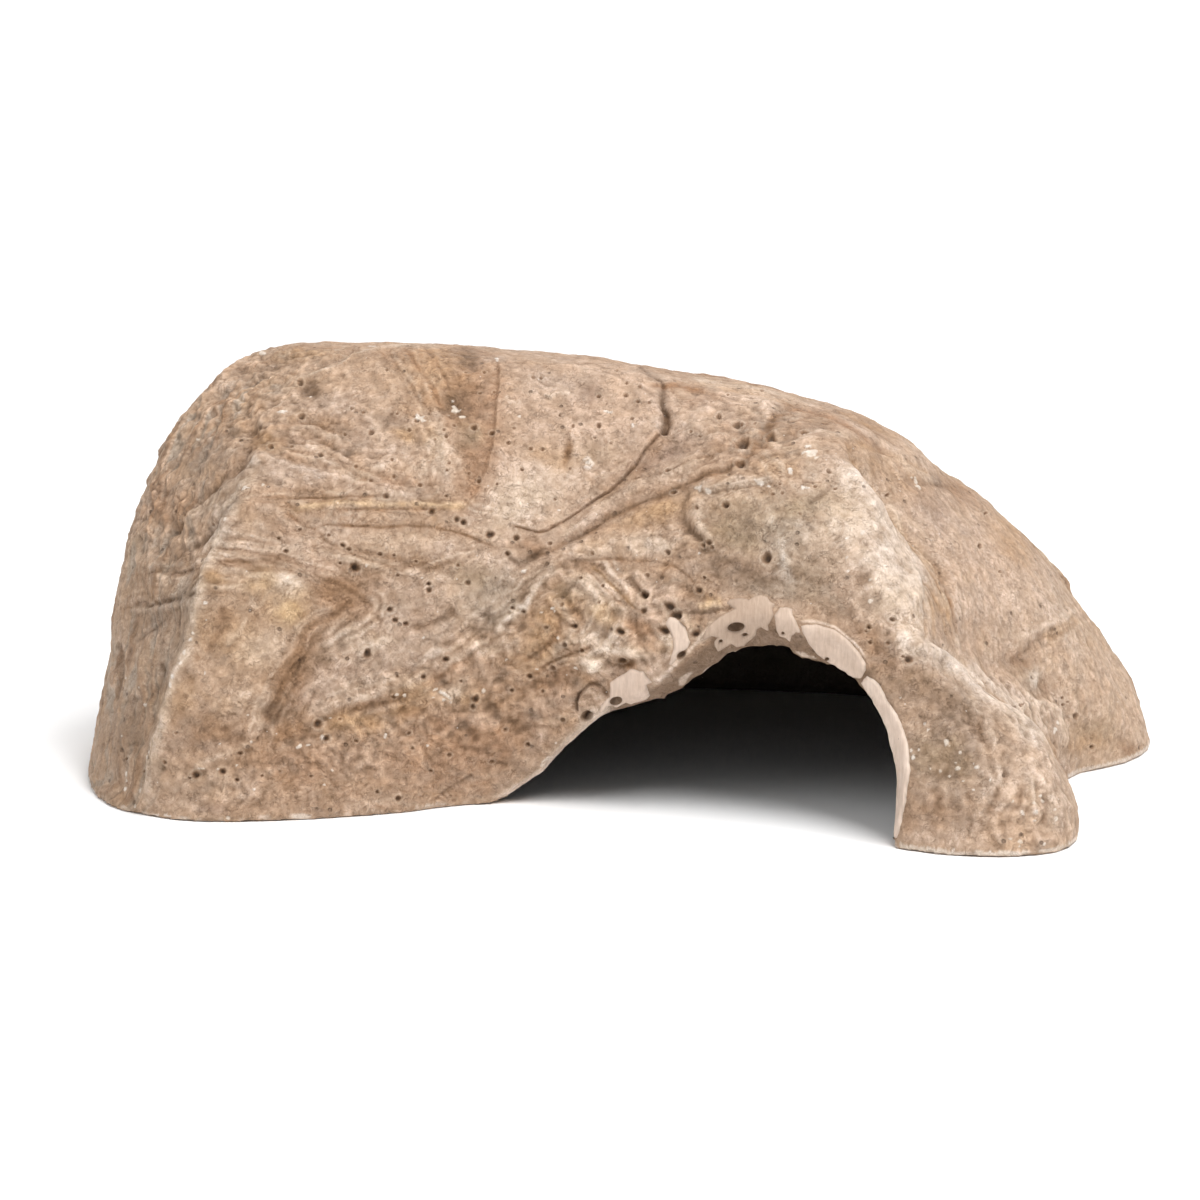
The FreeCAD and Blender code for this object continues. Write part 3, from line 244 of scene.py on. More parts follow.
652 517 596 567 529 608 454 640 365 671 282 692 201 707 133 717 40 727 -60 733
-174 733 -269 733 -362 730 -453 724 -543 712 -627 693 -706 668 -779 638 -850 599 -912 553
-965 502 -1016 443 -1060 379 -1096 314 -1123 239 -1144 161 -1179 90 -1202 23 -1180 -41 -1149 -104
-1111 -166 -1075 -226 -1041 -282 -1008 -331 -979 -370 -947 -402 -905 -427 -853 -434 -787 -425 -697 -409
-607 -397 -543 -389 -469 -381 -376 -375 -277 -365 -169 -377 -72 -398 3 -415 77 -438 159 -482
237 -525 313 -556 368 -573 406 -581 444 -587 482 -590 519 -595 555 -599 587 -593 603 -569
611 -541 619 -512 628 -478 638 -442 649 -405 669 -355 713 -286 764 -220 810 -142 844 -74
869 -12 887 41 896 77 903 112
855 142 855 174 854 196 852 212 849 225 843 238 834 251 792 287 719 362 674 430
629 494 580 543 516 584 441 617 357 648 278 671 195 689 130 700 41 710 -60 717
-176 719 -267 719 -359 717 -452 712 -539 701 -623 682 -702 658 -775 627 -842 589 -901 542
-952 492 -1003 433 -1047 370 -1082 305 -1108 234 -1130 158 -1171 92 -1187 28 -1164 -34 -1129 -96
-1094 -153 -1058 -212 -1023 -267 -991 -315 -961 -354 -931 -386 -895 -409 -848 -420 -780 -410 -691 -394
-612 -383 -551 -375 -471 -366 -376 -358 -274 -345 -159 -339 -64 -357 6 -377 86 -411 169 -459
246 -502 313 -529 351 -542 388 -552 426 -557 463 -560 498 -563 533 -568 566 -565 585 -541
593 -512 599 -483 605 -452 610 -418 615 -384 632 -329 683 -261 737 -200 777 -128 806 -63
828 -3 841 42 849 72 853 106
795 135 791 156 785 171 781 183 776 195 771 208 763 225 739 265 688 344 648 411
605 471 558 518 498 556 424 591 346 622 271 645 196 664 124 679 34 690 -71 700
-170 700 -264 703 -357 702 -449 698 -536 688 -619 670 -695 646 -769 616 -833 578 -891 531
-941 478 -989 422 -1032 361 -1069 297 -1092 227 -1116 153 -1161 93 -1169 32 -1143 -25 -1110 -83
-1075 -140 -1039 -198 -1004 -251 -972 -297 -942 -336 -913 -366 -883 -388 -834 -403 -764 -391 -686 -376
-630 -368 -560 -358 -471 -347 -370 -335 -251 -318 -148 -308 -74 -316 3 -339 97 -384 179 -433
253 -474 307 -498 342 -511 377 -521 411 -527 446 -528 482 -530 515 -534 546 -533 566 -513
574 -485 580 -457 584 -429 588 -398 593 -367 605 -312 654 -242 708 -182 744 -114 769 -51
787 4 795 41 801 72 799 105
753 104 749 129 742 153 732 178 719 206 707 228 698 245 688 264 666 302 619 382
572 443 529 484 475 523 409 559 334 591 261 617 190 636 118 652 29 666 -73 676
-171 680 -264 683 -355 685 -447 680 -533 672 -613 656 -690 631 -760 601 -823 564 -878 517
-927 465 -974 409 -1016 351 -1051 290 -1073 220 -1104 147 -1150 95 -1148 40 -1122 -15 -1088 -71
-1053 -125 -1018 -180 -983 -233 -951 -278 -922 -315 -895 -343 -866 -363 -825 -375 -763 -367 -688 -352
-618 -342 -566 -334 -486 -323 -372 -309 -254 -293 -141 -280 -57 -287 8 -306 99 -346 188 -399
259 -440 293 -457 326 -472 358 -484 391 -493 424 -497 457 -497 489 -497 521 -494 548 -477
558 -448 563 -419 568 -392 572 -365 576 -337 584 -296 626 -224 673 -166 707 -102 730 -46
740 -14 749 17 754 48 755 77
720 99 715 122 707 146 698 169 687 192 677 212 668 228 656 248 632 285 584 353
540 408 498 451 449 490 387 527 318 561 251 585 183 605 110 624 22 639 -75 651
-172 658 -264 662 -355 665 -444 663 -529 655 -607 640 -681 617 -749 587 -812 550 -866 504
-914 452 -961 396 -1001 341 -1034 280 -1057 210 -1095 143 -1136 97 -1128 46 -1101 -4 -1067 -57
-1031 -109 -996 -165 -962 -216 -932 -260 -904 -295 -879 -318 -852 -332 -814 -336 -753 -329 -685 -317
-632 -311 -569 -303 -463 -293 -349 -281 -237 -268 -152 -258 -87 -258 9 -273 111 -316 197 -364
261 -400 290 -418 319 -434 348 -449 379 -460 412 -466 444 -468 475 -465 506 -460 530 -446
543 -421 549 -393 554 -366 558 -339 563 -311 571 -280 600 -212 644 -151 676 -91 698 -44
710 -11 717 20 722 49 724 74
676 91 671 112 663 134 654 154 645 172 636 190 627 205 615 223 590 257 545 316
500 368 461 410 414 452 359 489 298 522 237 548 173 569 100 590 16 608 -78 622
-173 631 -263 638 -354 642 -442 642 -526 635 -602 621 -674 598 -740 569 -800 534 -853 490
-900 439 -944 385 -984 330 -1016 270 -1040 201 -1083 143 -1116 100 -1104 54 -1077 8 -1043 -40
-1006 -91 -969 -146 -937 -195 -908 -235 -885 -261 -864 -279 -837 -290 -800 -288 -744 -279 -682 -273
-635 -269 -553 -266 -445 -258 -333 -251 -239 -243 -178 -238 -102 -233 5 -240 108 -274 199 -319
264 -354 290 -370 317 -387 343 -403 372 -417 401 -425 432 -428 461 -427 489 -422 513 -410
529 -388 538 -362 545 -337 552 -312 558 -287 564 -261 582 -206 614 -139 643 -82 660 -41
670 -11 677 19 680 46 679 69
622 82 617 103 611 122 603 139 596 154 589 167 581 179 569 196 545 225 502 276
459 327 419 371 376 413 328 450 274 481 219 508 160 532 90 555 5 577 -85 593
-176 604 -263 612 -353 619 -440 620 -522 615 -596 602 -667 580 -731 552 -789 518 -839 476
-886 426 -929 374 -968 319 -1000 260 -1027 194 -1073 144 -1095 102 -1081 63 -1055 23 -1020 -23
-981 -73 -944 -126 -912 -172 -887 -204 -866 -225 -844 -240 -822 -246 -792 -245 -733 -234 -689 -230
-623 -228 -521 -228 -417 -227 -324 -225 -264 -220 -199 -216 -106 -211 -2 -212 100 -234 197 -272
264 -305 291 -319 317 -333 342 -347 368 -360 395 -370 422 -375 449 -377 474 -375 497 -367
515 -352 528 -331 538 -308 547 -284 554 -260 561 -234 572 -197 590 -135 606 -78 614 -45
620 -16 624 13 625 39 625 61
551 64 546 83 541 99 535 113 529 125 523 137 515 148 506 161 487 185 448 233
407 284 371 330 334 367 292 402 245 431 197 457 138 485 68 512 -13 538 -93 557
-177 571 -264 582 -353 591 -437 592 -517 591 -590 579 -659 558 -721 532 -776 500 -825 459
-872 412 -912 362 -951 310 -984 250 -1018 188 -1061 145 -1070 108 -1056 75 -1029 39 -993 -3
-953 -52 -915 -102 -882 -144 -859 -169 -840 -184 -824 -192 -808 -196 -786 -196 -746 -190 -673 -184
-579 -185 -484 -190 -411 -194 -359 -195 -284 -193 -195 -187 -99 -185 -1 -185 93 -196 183 -216
259 -245 286 -255 311 -265 336 -273 359 -280 381 -286 403 -290 424 -293 446 -293 468 -291
488 -283 504 -268 517 -248 527 -226 535 -205 542 -183 549 -160 554 -129 560 -84 562 -56
562 -30 561 -5 558 19 555 42
468 45 465 63 462 81 457 98 452 115 445 131 438 146 430 159 423 171 402 198
367 236 327 276 288 312 247 345 205 375 161 404 110 433 45 464 -30 494 -107 518
-188 537 -269 551 -351 561 -433 565 -512 565 -585 555 -651 537 -711 513 -765 483 -814 444
-859 398 -899 350 -938 299 -975 242 -1013 187 -1046 148 -1048 116 -1032 87 -1006 56 -968 17
-927 -29 -889 -77 -858 -112 -835 -132 -820 -142 -807 -147 -795 -151 -772 -152 -721 -146 -641 -145
-557 -150 -474 -157 -416 -161 -360 -163 -283 -164 -197 -162 -108 -161 -19 -156 68 -163 153 -168
233 -181 257 -187 279 -193 300 -197 320 -200 339 -201 357 -201 373 -200 388 -198 403 -192
417 -184 429 -173 440 -160 448 -145 455 -130 460 -113 464 -97 467 -80 469 -63 471 -46
471 -29 471 -12 471 6 470 25
366 41 364 54 360 69 355 84 349 99 343 115 335 131 326 147 316 163 303 178
290 194 265 218 231 253 194 286 141 329 81 371 16 409 -42 436 -83 453 -129 469
-186 486 -251 502 -318 515 -385 524 -463 530 -539 528 -614 516 -685 494 -751 462 -799 428
-842 385 -884 338 -926 289 -970 239 -1008 191 -1026 152 -1022 127 -1007 103 -980 75 -941 41
-900 -4 -865 -45 -841 -70 -825 -85 -808 -96 -789 -104 -770 -107 -735 -106 -664 -102 -584 -111
-504 -119 -427 -125 -379 -128 -338 -130 -274 -133 -197 -135 -118 -134 -53 -129 -3 -128 62 -129
131 -127 195 -120 216 -118 236 -117 254 -116 271 -116 286 -115 300 -114 312 -111 323 -106
333 -100 341 -93 348 -86 353 -77 358 -69 362 -60 365 -51 368 -41 370 -31 371 -20
371 -9 371 3 370 15 369 28
251 55 251 66 250 77 248 88 245 101 242 114 237 127 231 141 223 155 214 169
203 183 192 197 178 210 143 241 87 284 30 323 -26 356 -81 385 -125 406 -164 422
-215 440 -272 457 -326 470 -384 480 -447 489 -517 492 -586 489 -653 475 -719 451 -777 419
-827 374 -873 328 -920 283 -966 239 -1000 195 -1006 161 -997 138 -982 119 -956 95 -917 62
-877 20 -845 -20 -823 -43 -809 -55 -794 -64 -775 -71 -734 -73 -664 -68 -594 -77 -529 -87
-481 -92 -444 -94 -398 -98 -332 -102 -267 -106 -199 -109 -145 -110 -99 -108 -37 -105 23 -103
90 -98 123 -92 141 -89 157 -85 172 -80 185 -76 197 -71 207 -65 215 -59 223 -53
228 -47 233 -41 237 -34 240 -28 243 -22 245 -15 247 -9 248 -2 249 5 250 12
251 20 252 28 252 37 252 46
125 60 124 68 123 76 122 86 120 95 117 106 115 117 111 128 106 140 100 152
93 164 84 177 74 190 62 202 21 240 -29 276 -79 307 -124 333 -163 353 -196 368
-240 386 -294 405 -344 419 -396 430 -452 439 -512 446 -575 447 -637 440 -698 426 -756 402
-805 366 -852 328 -900 290 -946 253 -982 205 -981 174 -971 158 -956 142 -927 119 -886 88
-850 49 -823 12 -805 -10 -790 -23 -771 -33 -725 -38 -663 -33 -607 -41 -565 -50 -533 -55
-496 -60 -441 -65 -383 -69 -325 -73 -268 -77 -227 -80 -182 -82 -125 -82 -71 -81 -10 -80
29 -75 45 -72 59 -68 72 -64 83 -58 93 -53 100 -47 107 -41 112 -34 116 -28
119 -22 121 -17 122 -11 123 -6 124 -1 125 4 125 10 125 15 125 20 125 26
125 32 125 38 125 45 125 52
60 63 59 71 58 78 56 87 54 96 51 105 48 114 44 124 40 135 34 145
27 156 20 168 11 179 1 190 -32 219 -77 250 -122 275 -156 291 -184 304 -219 318
-266 338 -313 355 -359 369 -406 383 -458 394 -513 404 -569 408 -626 407 -685 398 -739 381
-789 354 -836 324 -882 294 -926 262 -959 221 -957 192 -947 177 -931 163 -899 142 -861 115
-827 80 -798 43 -779 21 -762 8 -723 -4 -671 -6 -632 -11 -605 -17 -577 -23 -534 -31
-480 -39 -431 -43 -377 -47 -331 -50 -294 -53 -245 -57 -193 -60 -139 -59 -84 -56 -39 -55
-24 -55 -10 -54 3 -53 15 -50 25 -47 35 -42 42 -37 48 -32 52 -26 55 -20
58 -14 60 -9 61 -4 62 2 63 7 63 11 63 16 63 21 63 26 63 32
63 37 62 43 62 50 61 56
-41 92 -40 97 -39 102 -38 108 -38 115 -38 121 -38 129 -40 137 -42 146 -45 154
-49 163 -55 173 -62 182 -70 191 -86 204 -118 226 -149 242 -180 257 -220 273 -263 289
-299 301 -334 311 -372 322 -415 334 -463 345 -513 355 -565 362 -616 366 -668 363 -719 354
-767 339 -813 319 -856 298 -896 273 -929 242 -934 211 -925 197 -909 184 -877 164 -841 139
-806 108 -775 78 -750 55 -719 35 -694 26 -673 21 -646 15 -604 4 -561 -5 -516 -13
-469 -19 -426 -24 -388 -27 -344 -29 -296 -32 -249 -36 -202 -39 -156 -38 -134 -35 -121 -31
-110 -26 -100 -21 -92 -15 -85 -8 -80 -2 -76 4 -72 10 -69 15 -66 21 -64 26
-61 31 -59 35 -58 40 -56 44 -54 48 -53 52 -52 56 -50 60 -49 65 -47 69
-46 73 -45 77 -44 82 -42 87
-119 83 -120 87 -121 92 -122 96 -124 102 -126 107 -128 113 -131 120 -134 127 -137 134
-141 142 -146 150 -151 158 -156 167 -163 176 -175 190 -207 216 -239 233 -265 243 -290 251
-321 259 -358 268 -397 278 -437 290 -477 300 -516 307 -557 315 -601 321 -647 322 -694 322
-740 319 -783 310 -824 297 -864 279 -896 253 -907 226 -900 212 -885 199 -852 176 -821 153
-791 128 -760 101 -729 77 -699 58 -671 45 -653 38 -633 31 -599 21 -558 11 -516 5
-471 -2 -429 -7 -390 -11 -350 -13 -308 -13 -267 -13 -227 -16 -189 -17 -177 -17 -166 -15
-156 -13 -147 -10 -139 -6 -133 -2 -129 4 -125 9 -122 14 -120 19 -118 24 -117 29
-117 33 -116 37 -115 41 -115 44 -115 48 -115 51 -115 54 -115 58 -115 61 -116 64
-116 68 -117 71 -117 75 -118 79
-271 66 -272 68 -273 71 -273 74 -274 78 -275 81 -277 86 -278 90 -280 95 -282 101
-284 106 -287 113 -289 119 -292 126 -295 133 -299 140 -311 162 -322 181 -335 195 -351 210
-376 229 -406 245 -437 258 -468 267 -500 273 -534 279 -568 285 -603 288 -638 289 -674 290
-711 292 -747 290 -781 286 -816 279 -849 266 -869 239 -853 211 -829 189 -804 168 -781 149
-763 134 -749 122 -735 111 -711 94 -680 75 -648 58 -614 44 -579 33 -545 27 -511 22
-478 17 -445 13 -413 8 -381 5 -348 4 -316 7 -308 10 -300 13 -293 16 -288 19
-283 23 -279 26 -277 29 -275 32 -273 35 -272 37 -271 40 -271 42 -270 43 -270 45
-270 46 -270 47 -269 48 -269 49 -269 50 -270 52 -270 53 -270 54 -270 55 -270 56
-270 58 -270 60 -271 61 -271 63
-328 66 -329 68 -329 70 -330 73 -331 76 -332 79 -333 82 -334 86 -335 89 -337 93
-338 97 -340 101 -341 104 -343 108 -345 112 -349 121 -356 136 -367 156 -381 178 -398 199
-419 217 -442 230 -467 240 -491 247 -517 252 -544 258 -572 263 -602 265 -633 266 -662 266
-691 266 -720 265 -750 262 -779 258 -806 250 -819 228 -804 205 -788 189 -778 179 -768 170
-754 157 -732 140 -709 122 -684 104 -659 88 -632 74 -605 61 -576 53 -548 47 -520 43
-493 39 -465 36 -437 33 -408 30 -381 27 -366 27 -358 28 -352 28 -346 30 -342 31
-338 34 -335 36 -332 37 -331 40 -330 42 -329 44 -328 45 -328 46 -327 47 -327 49
-327 50 -327 50 -327 51 -327 52 -327 53 -327 54 -327 55 -327 56 -327 57 -327 58
-327 59 -327 60 -328 62 -328 64
"""


def design_surface():
    """Points and triangles of the outer form, with a skirt below it and a point on top."""
    rings = (np.array(RINGS.split(), float) / 10).reshape(len(LEVELS), -1, 2)
    levels, corners = rings.shape[:2]
    heights = np.repeat(np.array(LEVELS, float)[:, None, None], corners, 1)
    points = np.concatenate([rings, heights], 2)
    skirt = points[0].copy()
    skirt[:, 2] = SKIRT_Z
    points = np.concatenate([skirt[None], points], 0).reshape(-1, 3)
    top = points[-corners:].mean(0)
    top[2] = TOP_Z
    faces = []
    for level in range(levels):
        for j in range(corners):
            a, b = level * corners + j, level * corners + (j + 1) % corners
            faces += [(a, b, b + corners), (a, b + corners, a + corners)]
    last = levels * corners
    faces += [(last + j, last + (j + 1) % corners, len(points)) for j in range(corners)]
    return [tuple(point) for point in np.vstack([points, top])], faces


# ------------------------------------------------------------------ mesh tools
def remeshed(part, voxel):
    """Closed, even mesh of a CAD part, in mm: points and triangles."""
    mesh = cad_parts[part].data.copy()
    ob = bpy.data.objects.new("tmp_remesh", mesh)
    bpy.context.scene.collection.objects.link(ob)
    weld = ob.modifiers.new("weld", "WELD")
    weld.merge_threshold = 2e-6
    remesh = ob.modifiers.new("vox", "REMESH")
    remesh.mode = "VOXEL"
    remesh.voxel_size = voxel * 1e-3
    remesh.adaptivity = 0.0
    graph = bpy.context.evaluated_depsgraph_get()
    result = bpy.data.meshes.new_from_object(ob.evaluated_get(graph), depsgraph=graph)
    result.calc_loop_triangles()
    points = np.empty(len(result.vertices) * 3, np.float64)
    result.vertices.foreach_get("co", points)
    tris = np.empty(len(result.loop_triangles) * 3, np.int64)
    result.loop_triangles.foreach_get("vertices", tris)
    bpy.data.objects.remove(ob)
    bpy.data.meshes.remove(mesh)
    bpy.data.meshes.remove(result)
    return points.reshape(-1, 3) * 1e3, tris.reshape(-1, 3)


def directed_edges(tris):
    return np.vstack([tris[:, [0, 1]], tris[:, [1, 2]], tris[:, [2, 0]]])


def edges_of(tris):
    """All edges once, and the three edges of each triangle."""
    edges = directed_edges(tris)
    edges.sort(1)
    key = edges[:, 0] * (tris.max() + 1) + edges[:, 1]
    _, first, inverse = np.unique(key, return_index=True, return_inverse=True)
    return edges[first], inverse.reshape(3, -1).T


def diffuse(values, edges, rounds, fixed=None):
    """Laplacian smoothing of per-point values over the edges."""
    count = len(values)
    result = values.reshape(count, -1).copy()
    degree = np.bincount(edges.ravel(), minlength=count).astype(float)
    degree[degree == 0] = 1
    start, end = edges.T
    for _ in range(rounds):
        mean = np.stack([np.bincount(start, column[end], count)
                         + np.bincount(end, column[start], count)
                         for column in result.T], 1) / degree[:, None]
        step = 0.5 * (mean - result)
        if fixed is not None:
            step[fixed] = 0
        result += step
    return result.reshape(values.shape)


def normals(points, tris):
    a, b, c = points[tris[:, 0]], points[tris[:, 1]], points[tris[:, 2]]
    faces = np.cross(b - a, c - a)
    total = np.stack([np.bincount(tris.ravel(), np.repeat(faces[:, k], 3), len(points))
                      for k in range(3)], 1)
    return total / np.maximum(np.linalg.norm(total, axis=1), 1e-12)[:, None]


def refine(arrays, tris, marked):
    """Splits every edge of the marked triangles in two, and carries per-point arrays along."""
    edges, tri_edges = edges_of(tris)
    split = np.zeros(len(edges), bool)
    split[tri_edges[marked].ravel()] = True
    new_id = np.full(len(edges), -1)
    new_id[split] = len(arrays[0]) + np.arange(split.sum())
    ends = edges[split]
    arrays = [np.concatenate([values, 0.5 * (values[ends[:, 0]] + values[ends[:, 1]])], 0)
              for values in arrays]
    mids = new_id[tri_edges]                              # midpoints of edges 01, 12, 20
    splits = (mids >= 0).sum(1)
    parts = [tris[splits == 0]]
    tri, mid = tris[splits == 3], mids[splits == 3]
    parts += [np.c_[tri[:, 0], mid[:, 0], mid[:, 2]], np.c_[mid[:, 0], tri[:, 1], mid[:, 1]],
              np.c_[mid[:, 2], mid[:, 1], tri[:, 2]], mid]
    for s in range(3):                                    # one split edge, at position s
        chosen = (splits == 1) & (mids[:, s] >= 0)
        a, b, c = tris[chosen][:, [s, (s + 1) % 3, (s + 2) % 3]].T
        mid = mids[chosen, s]
        parts += [np.c_[a, mid, c], np.c_[mid, b, c]]
    for s in range(3):                                    # two split edges, s is the whole one
        chosen = (splits == 2) & (mids[:, s] < 0)
        a, b, c = tris[chosen][:, [s, (s + 1) % 3, (s + 2) % 3]].T
        mid_bc, mid_ca = mids[chosen, (s + 1) % 3], mids[chosen, (s + 2) % 3]
        parts += [np.c_[a, b, mid_bc], np.c_[a, mid_bc, mid_ca], np.c_[mid_ca, mid_bc, c]]
    return arrays, np.vstack(parts).astype(np.int64)


def mesh_object(name, points, tris, tint):
    """A smooth mesh object in metres; the tint it is given is not used."""
    mesh = bpy.data.meshes.new(name)
    mesh.vertices.add(len(points))
    mesh.vertices.foreach_set("co", (points * 1e-3).astype(np.float32).ravel())
    mesh.loops.add(len(tris) * 3)
    mesh.loops.foreach_set("vertex_index", tris.astype(np.int32).ravel())
    mesh.polygons.add(len(tris))
    mesh.polygons.foreach_set("loop_start", np.arange(0, len(tris) * 3, 3, dtype=np.int32))
    mesh.polygons.foreach_set("loop_total", np.full(len(tris), 3, np.int32))
    mesh.polygons.foreach_set("use_smooth", np.full(len(tris), True))
    mesh.update()
    mesh.validate()
    ob = bpy.data.objects.new(name, mesh)
    bpy.context.scene.collection.objects.link(ob)
    return ob


def hand_over(ob, part, tint):
    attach(ob, "root")
    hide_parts(part)
    colours = ob.data.attributes.new("tint", "FLOAT_COLOR", "POINT")
    colours.data.foreach_set("color", np.c_[tint, np.ones(len(tint))].astype(np.float32).ravel())


# ------------------------------------------------------------------ noise
noise_rng = np.random.RandomState(NOISE_SEED)
SHUFFLE = np.tile(noise_rng.permutation(512), 2)
GRADIENTS = noise_rng.normal(size=(512, 3))
GRADIENTS = GRADIENTS / np.linalg.norm(GRADIENTS, axis=1)[:, None]


def cell_hash(cells):
    """A scrambled number, 0 to 511, for each cell of a grid."""
    value = SHUFFLE[cells[:, 0] & 511]
    value = SHUFFLE[(value + cells[:, 1]) & 511]
    return SHUFFLE[(value + cells[:, 2]) & 511]


def noise(points, size, seed=0):
    """Gradient noise, about -1 to 1, with features about `size` mm across."""
    scaled = points / size + np.array([17.3, 5.1, 91.7]) * (seed + 1)
    cells = np.floor(scaled).astype(np.int64)
    part = scaled - cells
    blend = part * part * part * (part * (part * 6 - 15) + 10)
    total = 0.0
    for corner in np.ndindex(2, 2, 2):
        slope = (GRADIENTS[cell_hash(cells + np.array(corner))] * (part - np.array(corner))).sum(1)
        share = np.where(np.array(corner) == 1, blend, 1 - blend)
        total = total + slope * (share[:, 0] * share[:, 1] * share[:, 2])
    return total * 1.6


def fbm(points, size, octaves, seed=0):
    """Noise with octaves, each half the size and strength of the one before."""
    total, strength = 0.0, 1.0
    for octave in range(octaves):
        total = total + strength * noise(points, size / 2 ** octave, seed + 31 * octave)
        strength *= 0.5
    return total


def two_noise(coords, finer, seed, finer_seed, share):
    """Noise over a pair of stretched coordinate sets."""
    return noise(coords, 1.0, seed) + share * noise(finer, 1.0, finer_seed)


def smoothstep(a, b, x):
    t = np.clip((x - a) / (b - a), 0, 1)
    return t * t * (3 - 2 * t)


# ------------------------------------------------------------------ distances on a plane
def line_distance(view, course, reach):
    """Distance to a course, how far along it (0 to 1), and the side, for places within reach."""
    dist, along, side = np.full(len(view), 1e9), np.zeros(len(view)), np.zeros(len(view))
    low, high = course.min(0) - reach, course.max(0) + reach
    near = np.where((view[:, 0] > low[0]) & (view[:, 0] < high[0])
                    & (view[:, 1] > low[1]) & (view[:, 1] < high[1]))[0]
    places = view[near]
    steps = np.diff(course, axis=0)
    lengths = np.linalg.norm(steps, axis=1)
    ends = np.r_[0, np.cumsum(lengths)]
    best, best_along, best_side = np.full(len(near), 1e9), np.zeros(len(near)), np.zeros(len(near))
    for i, step in enumerate(steps):
        offset = places - course[i]
        t = np.clip((offset @ step) / (lengths[i] ** 2 + 1e-9), 0, 1)
        away = np.linalg.norm(offset - t[:, None] * step, axis=1)
        better = away < best
        best[better] = away[better]
        best_along[better] = (ends[i] + t[better] * lengths[i]) / ends[-1]
        best_side[better] = np.sign(step[0] * offset[better, 1] - step[1] * offset[better, 0])
    dist[near], along[near], side[near] = best, best_along, best_side
    return dist, along, side


def near_line(view, course, reach):
    """The points within reach of a course, with their line_distance values."""
    dist, along, side = line_distance(view, course, reach)
    at = np.where(dist < reach)[0]
    return at, dist[at], along[at], side[at]


def inside_distance(view, outline, reach=14.0):
    """Distance to a closed outline, positive inside it."""
    ring = np.vstack([outline, outline[:1]])
    dist, _, _ = line_distance(view, ring, reach)
    inside = np.zeros(len(view), bool)
    at = np.where(dist < 1e8)[0]
    x, y = view[at, 0], view[at, 1]
    hit = np.zeros(len(at), bool)
    for (x0, y0), (x1, y1) in zip(ring[:-1], ring[1:]):
        hit ^= ((y0 > y) != (y1 > y)) & (x < x0 + (y - y0) * (x1 - x0) / (y1 - y0 + 1e-12))
    inside[at] = hit
    return np.where(inside, dist, -dist)


def oval(view, x, y, rx, ry, angle, reach):
    """Points near an oval and their distance from its middle, 1 at its edge."""
    radius = max(rx, ry) * reach
    at = np.where((np.abs(view[:, 0] - x) < radius) & (np.abs(view[:, 1] - y) < radius))[0]
    cos, sin = math.cos(math.radians(angle)), math.sin(math.radians(angle))
    dx, dy = view[at, 0] - x, view[at, 1] - y
    return at, np.hypot((dx * cos + dy * sin) / rx, (-dx * sin + dy * cos) / ry)


def in_view(points, view, shift=0.0):
    """Which points are not hidden behind nearer parts."""
    cell, slack, cells = 4.0, 7.0, 302
    index = np.clip(((view + shift) / cell).astype(int), 0, cells - 1)
    key = index[:, 1] * cells + index[:, 0]
    far = (points - EYE) @ VIEW_AXIS
    order = np.argsort(far)[::-1]
    nearest = np.full(cells * cells, 1e9)
    nearest[key[order]] = far[order]
    return far < nearest[key] + slack
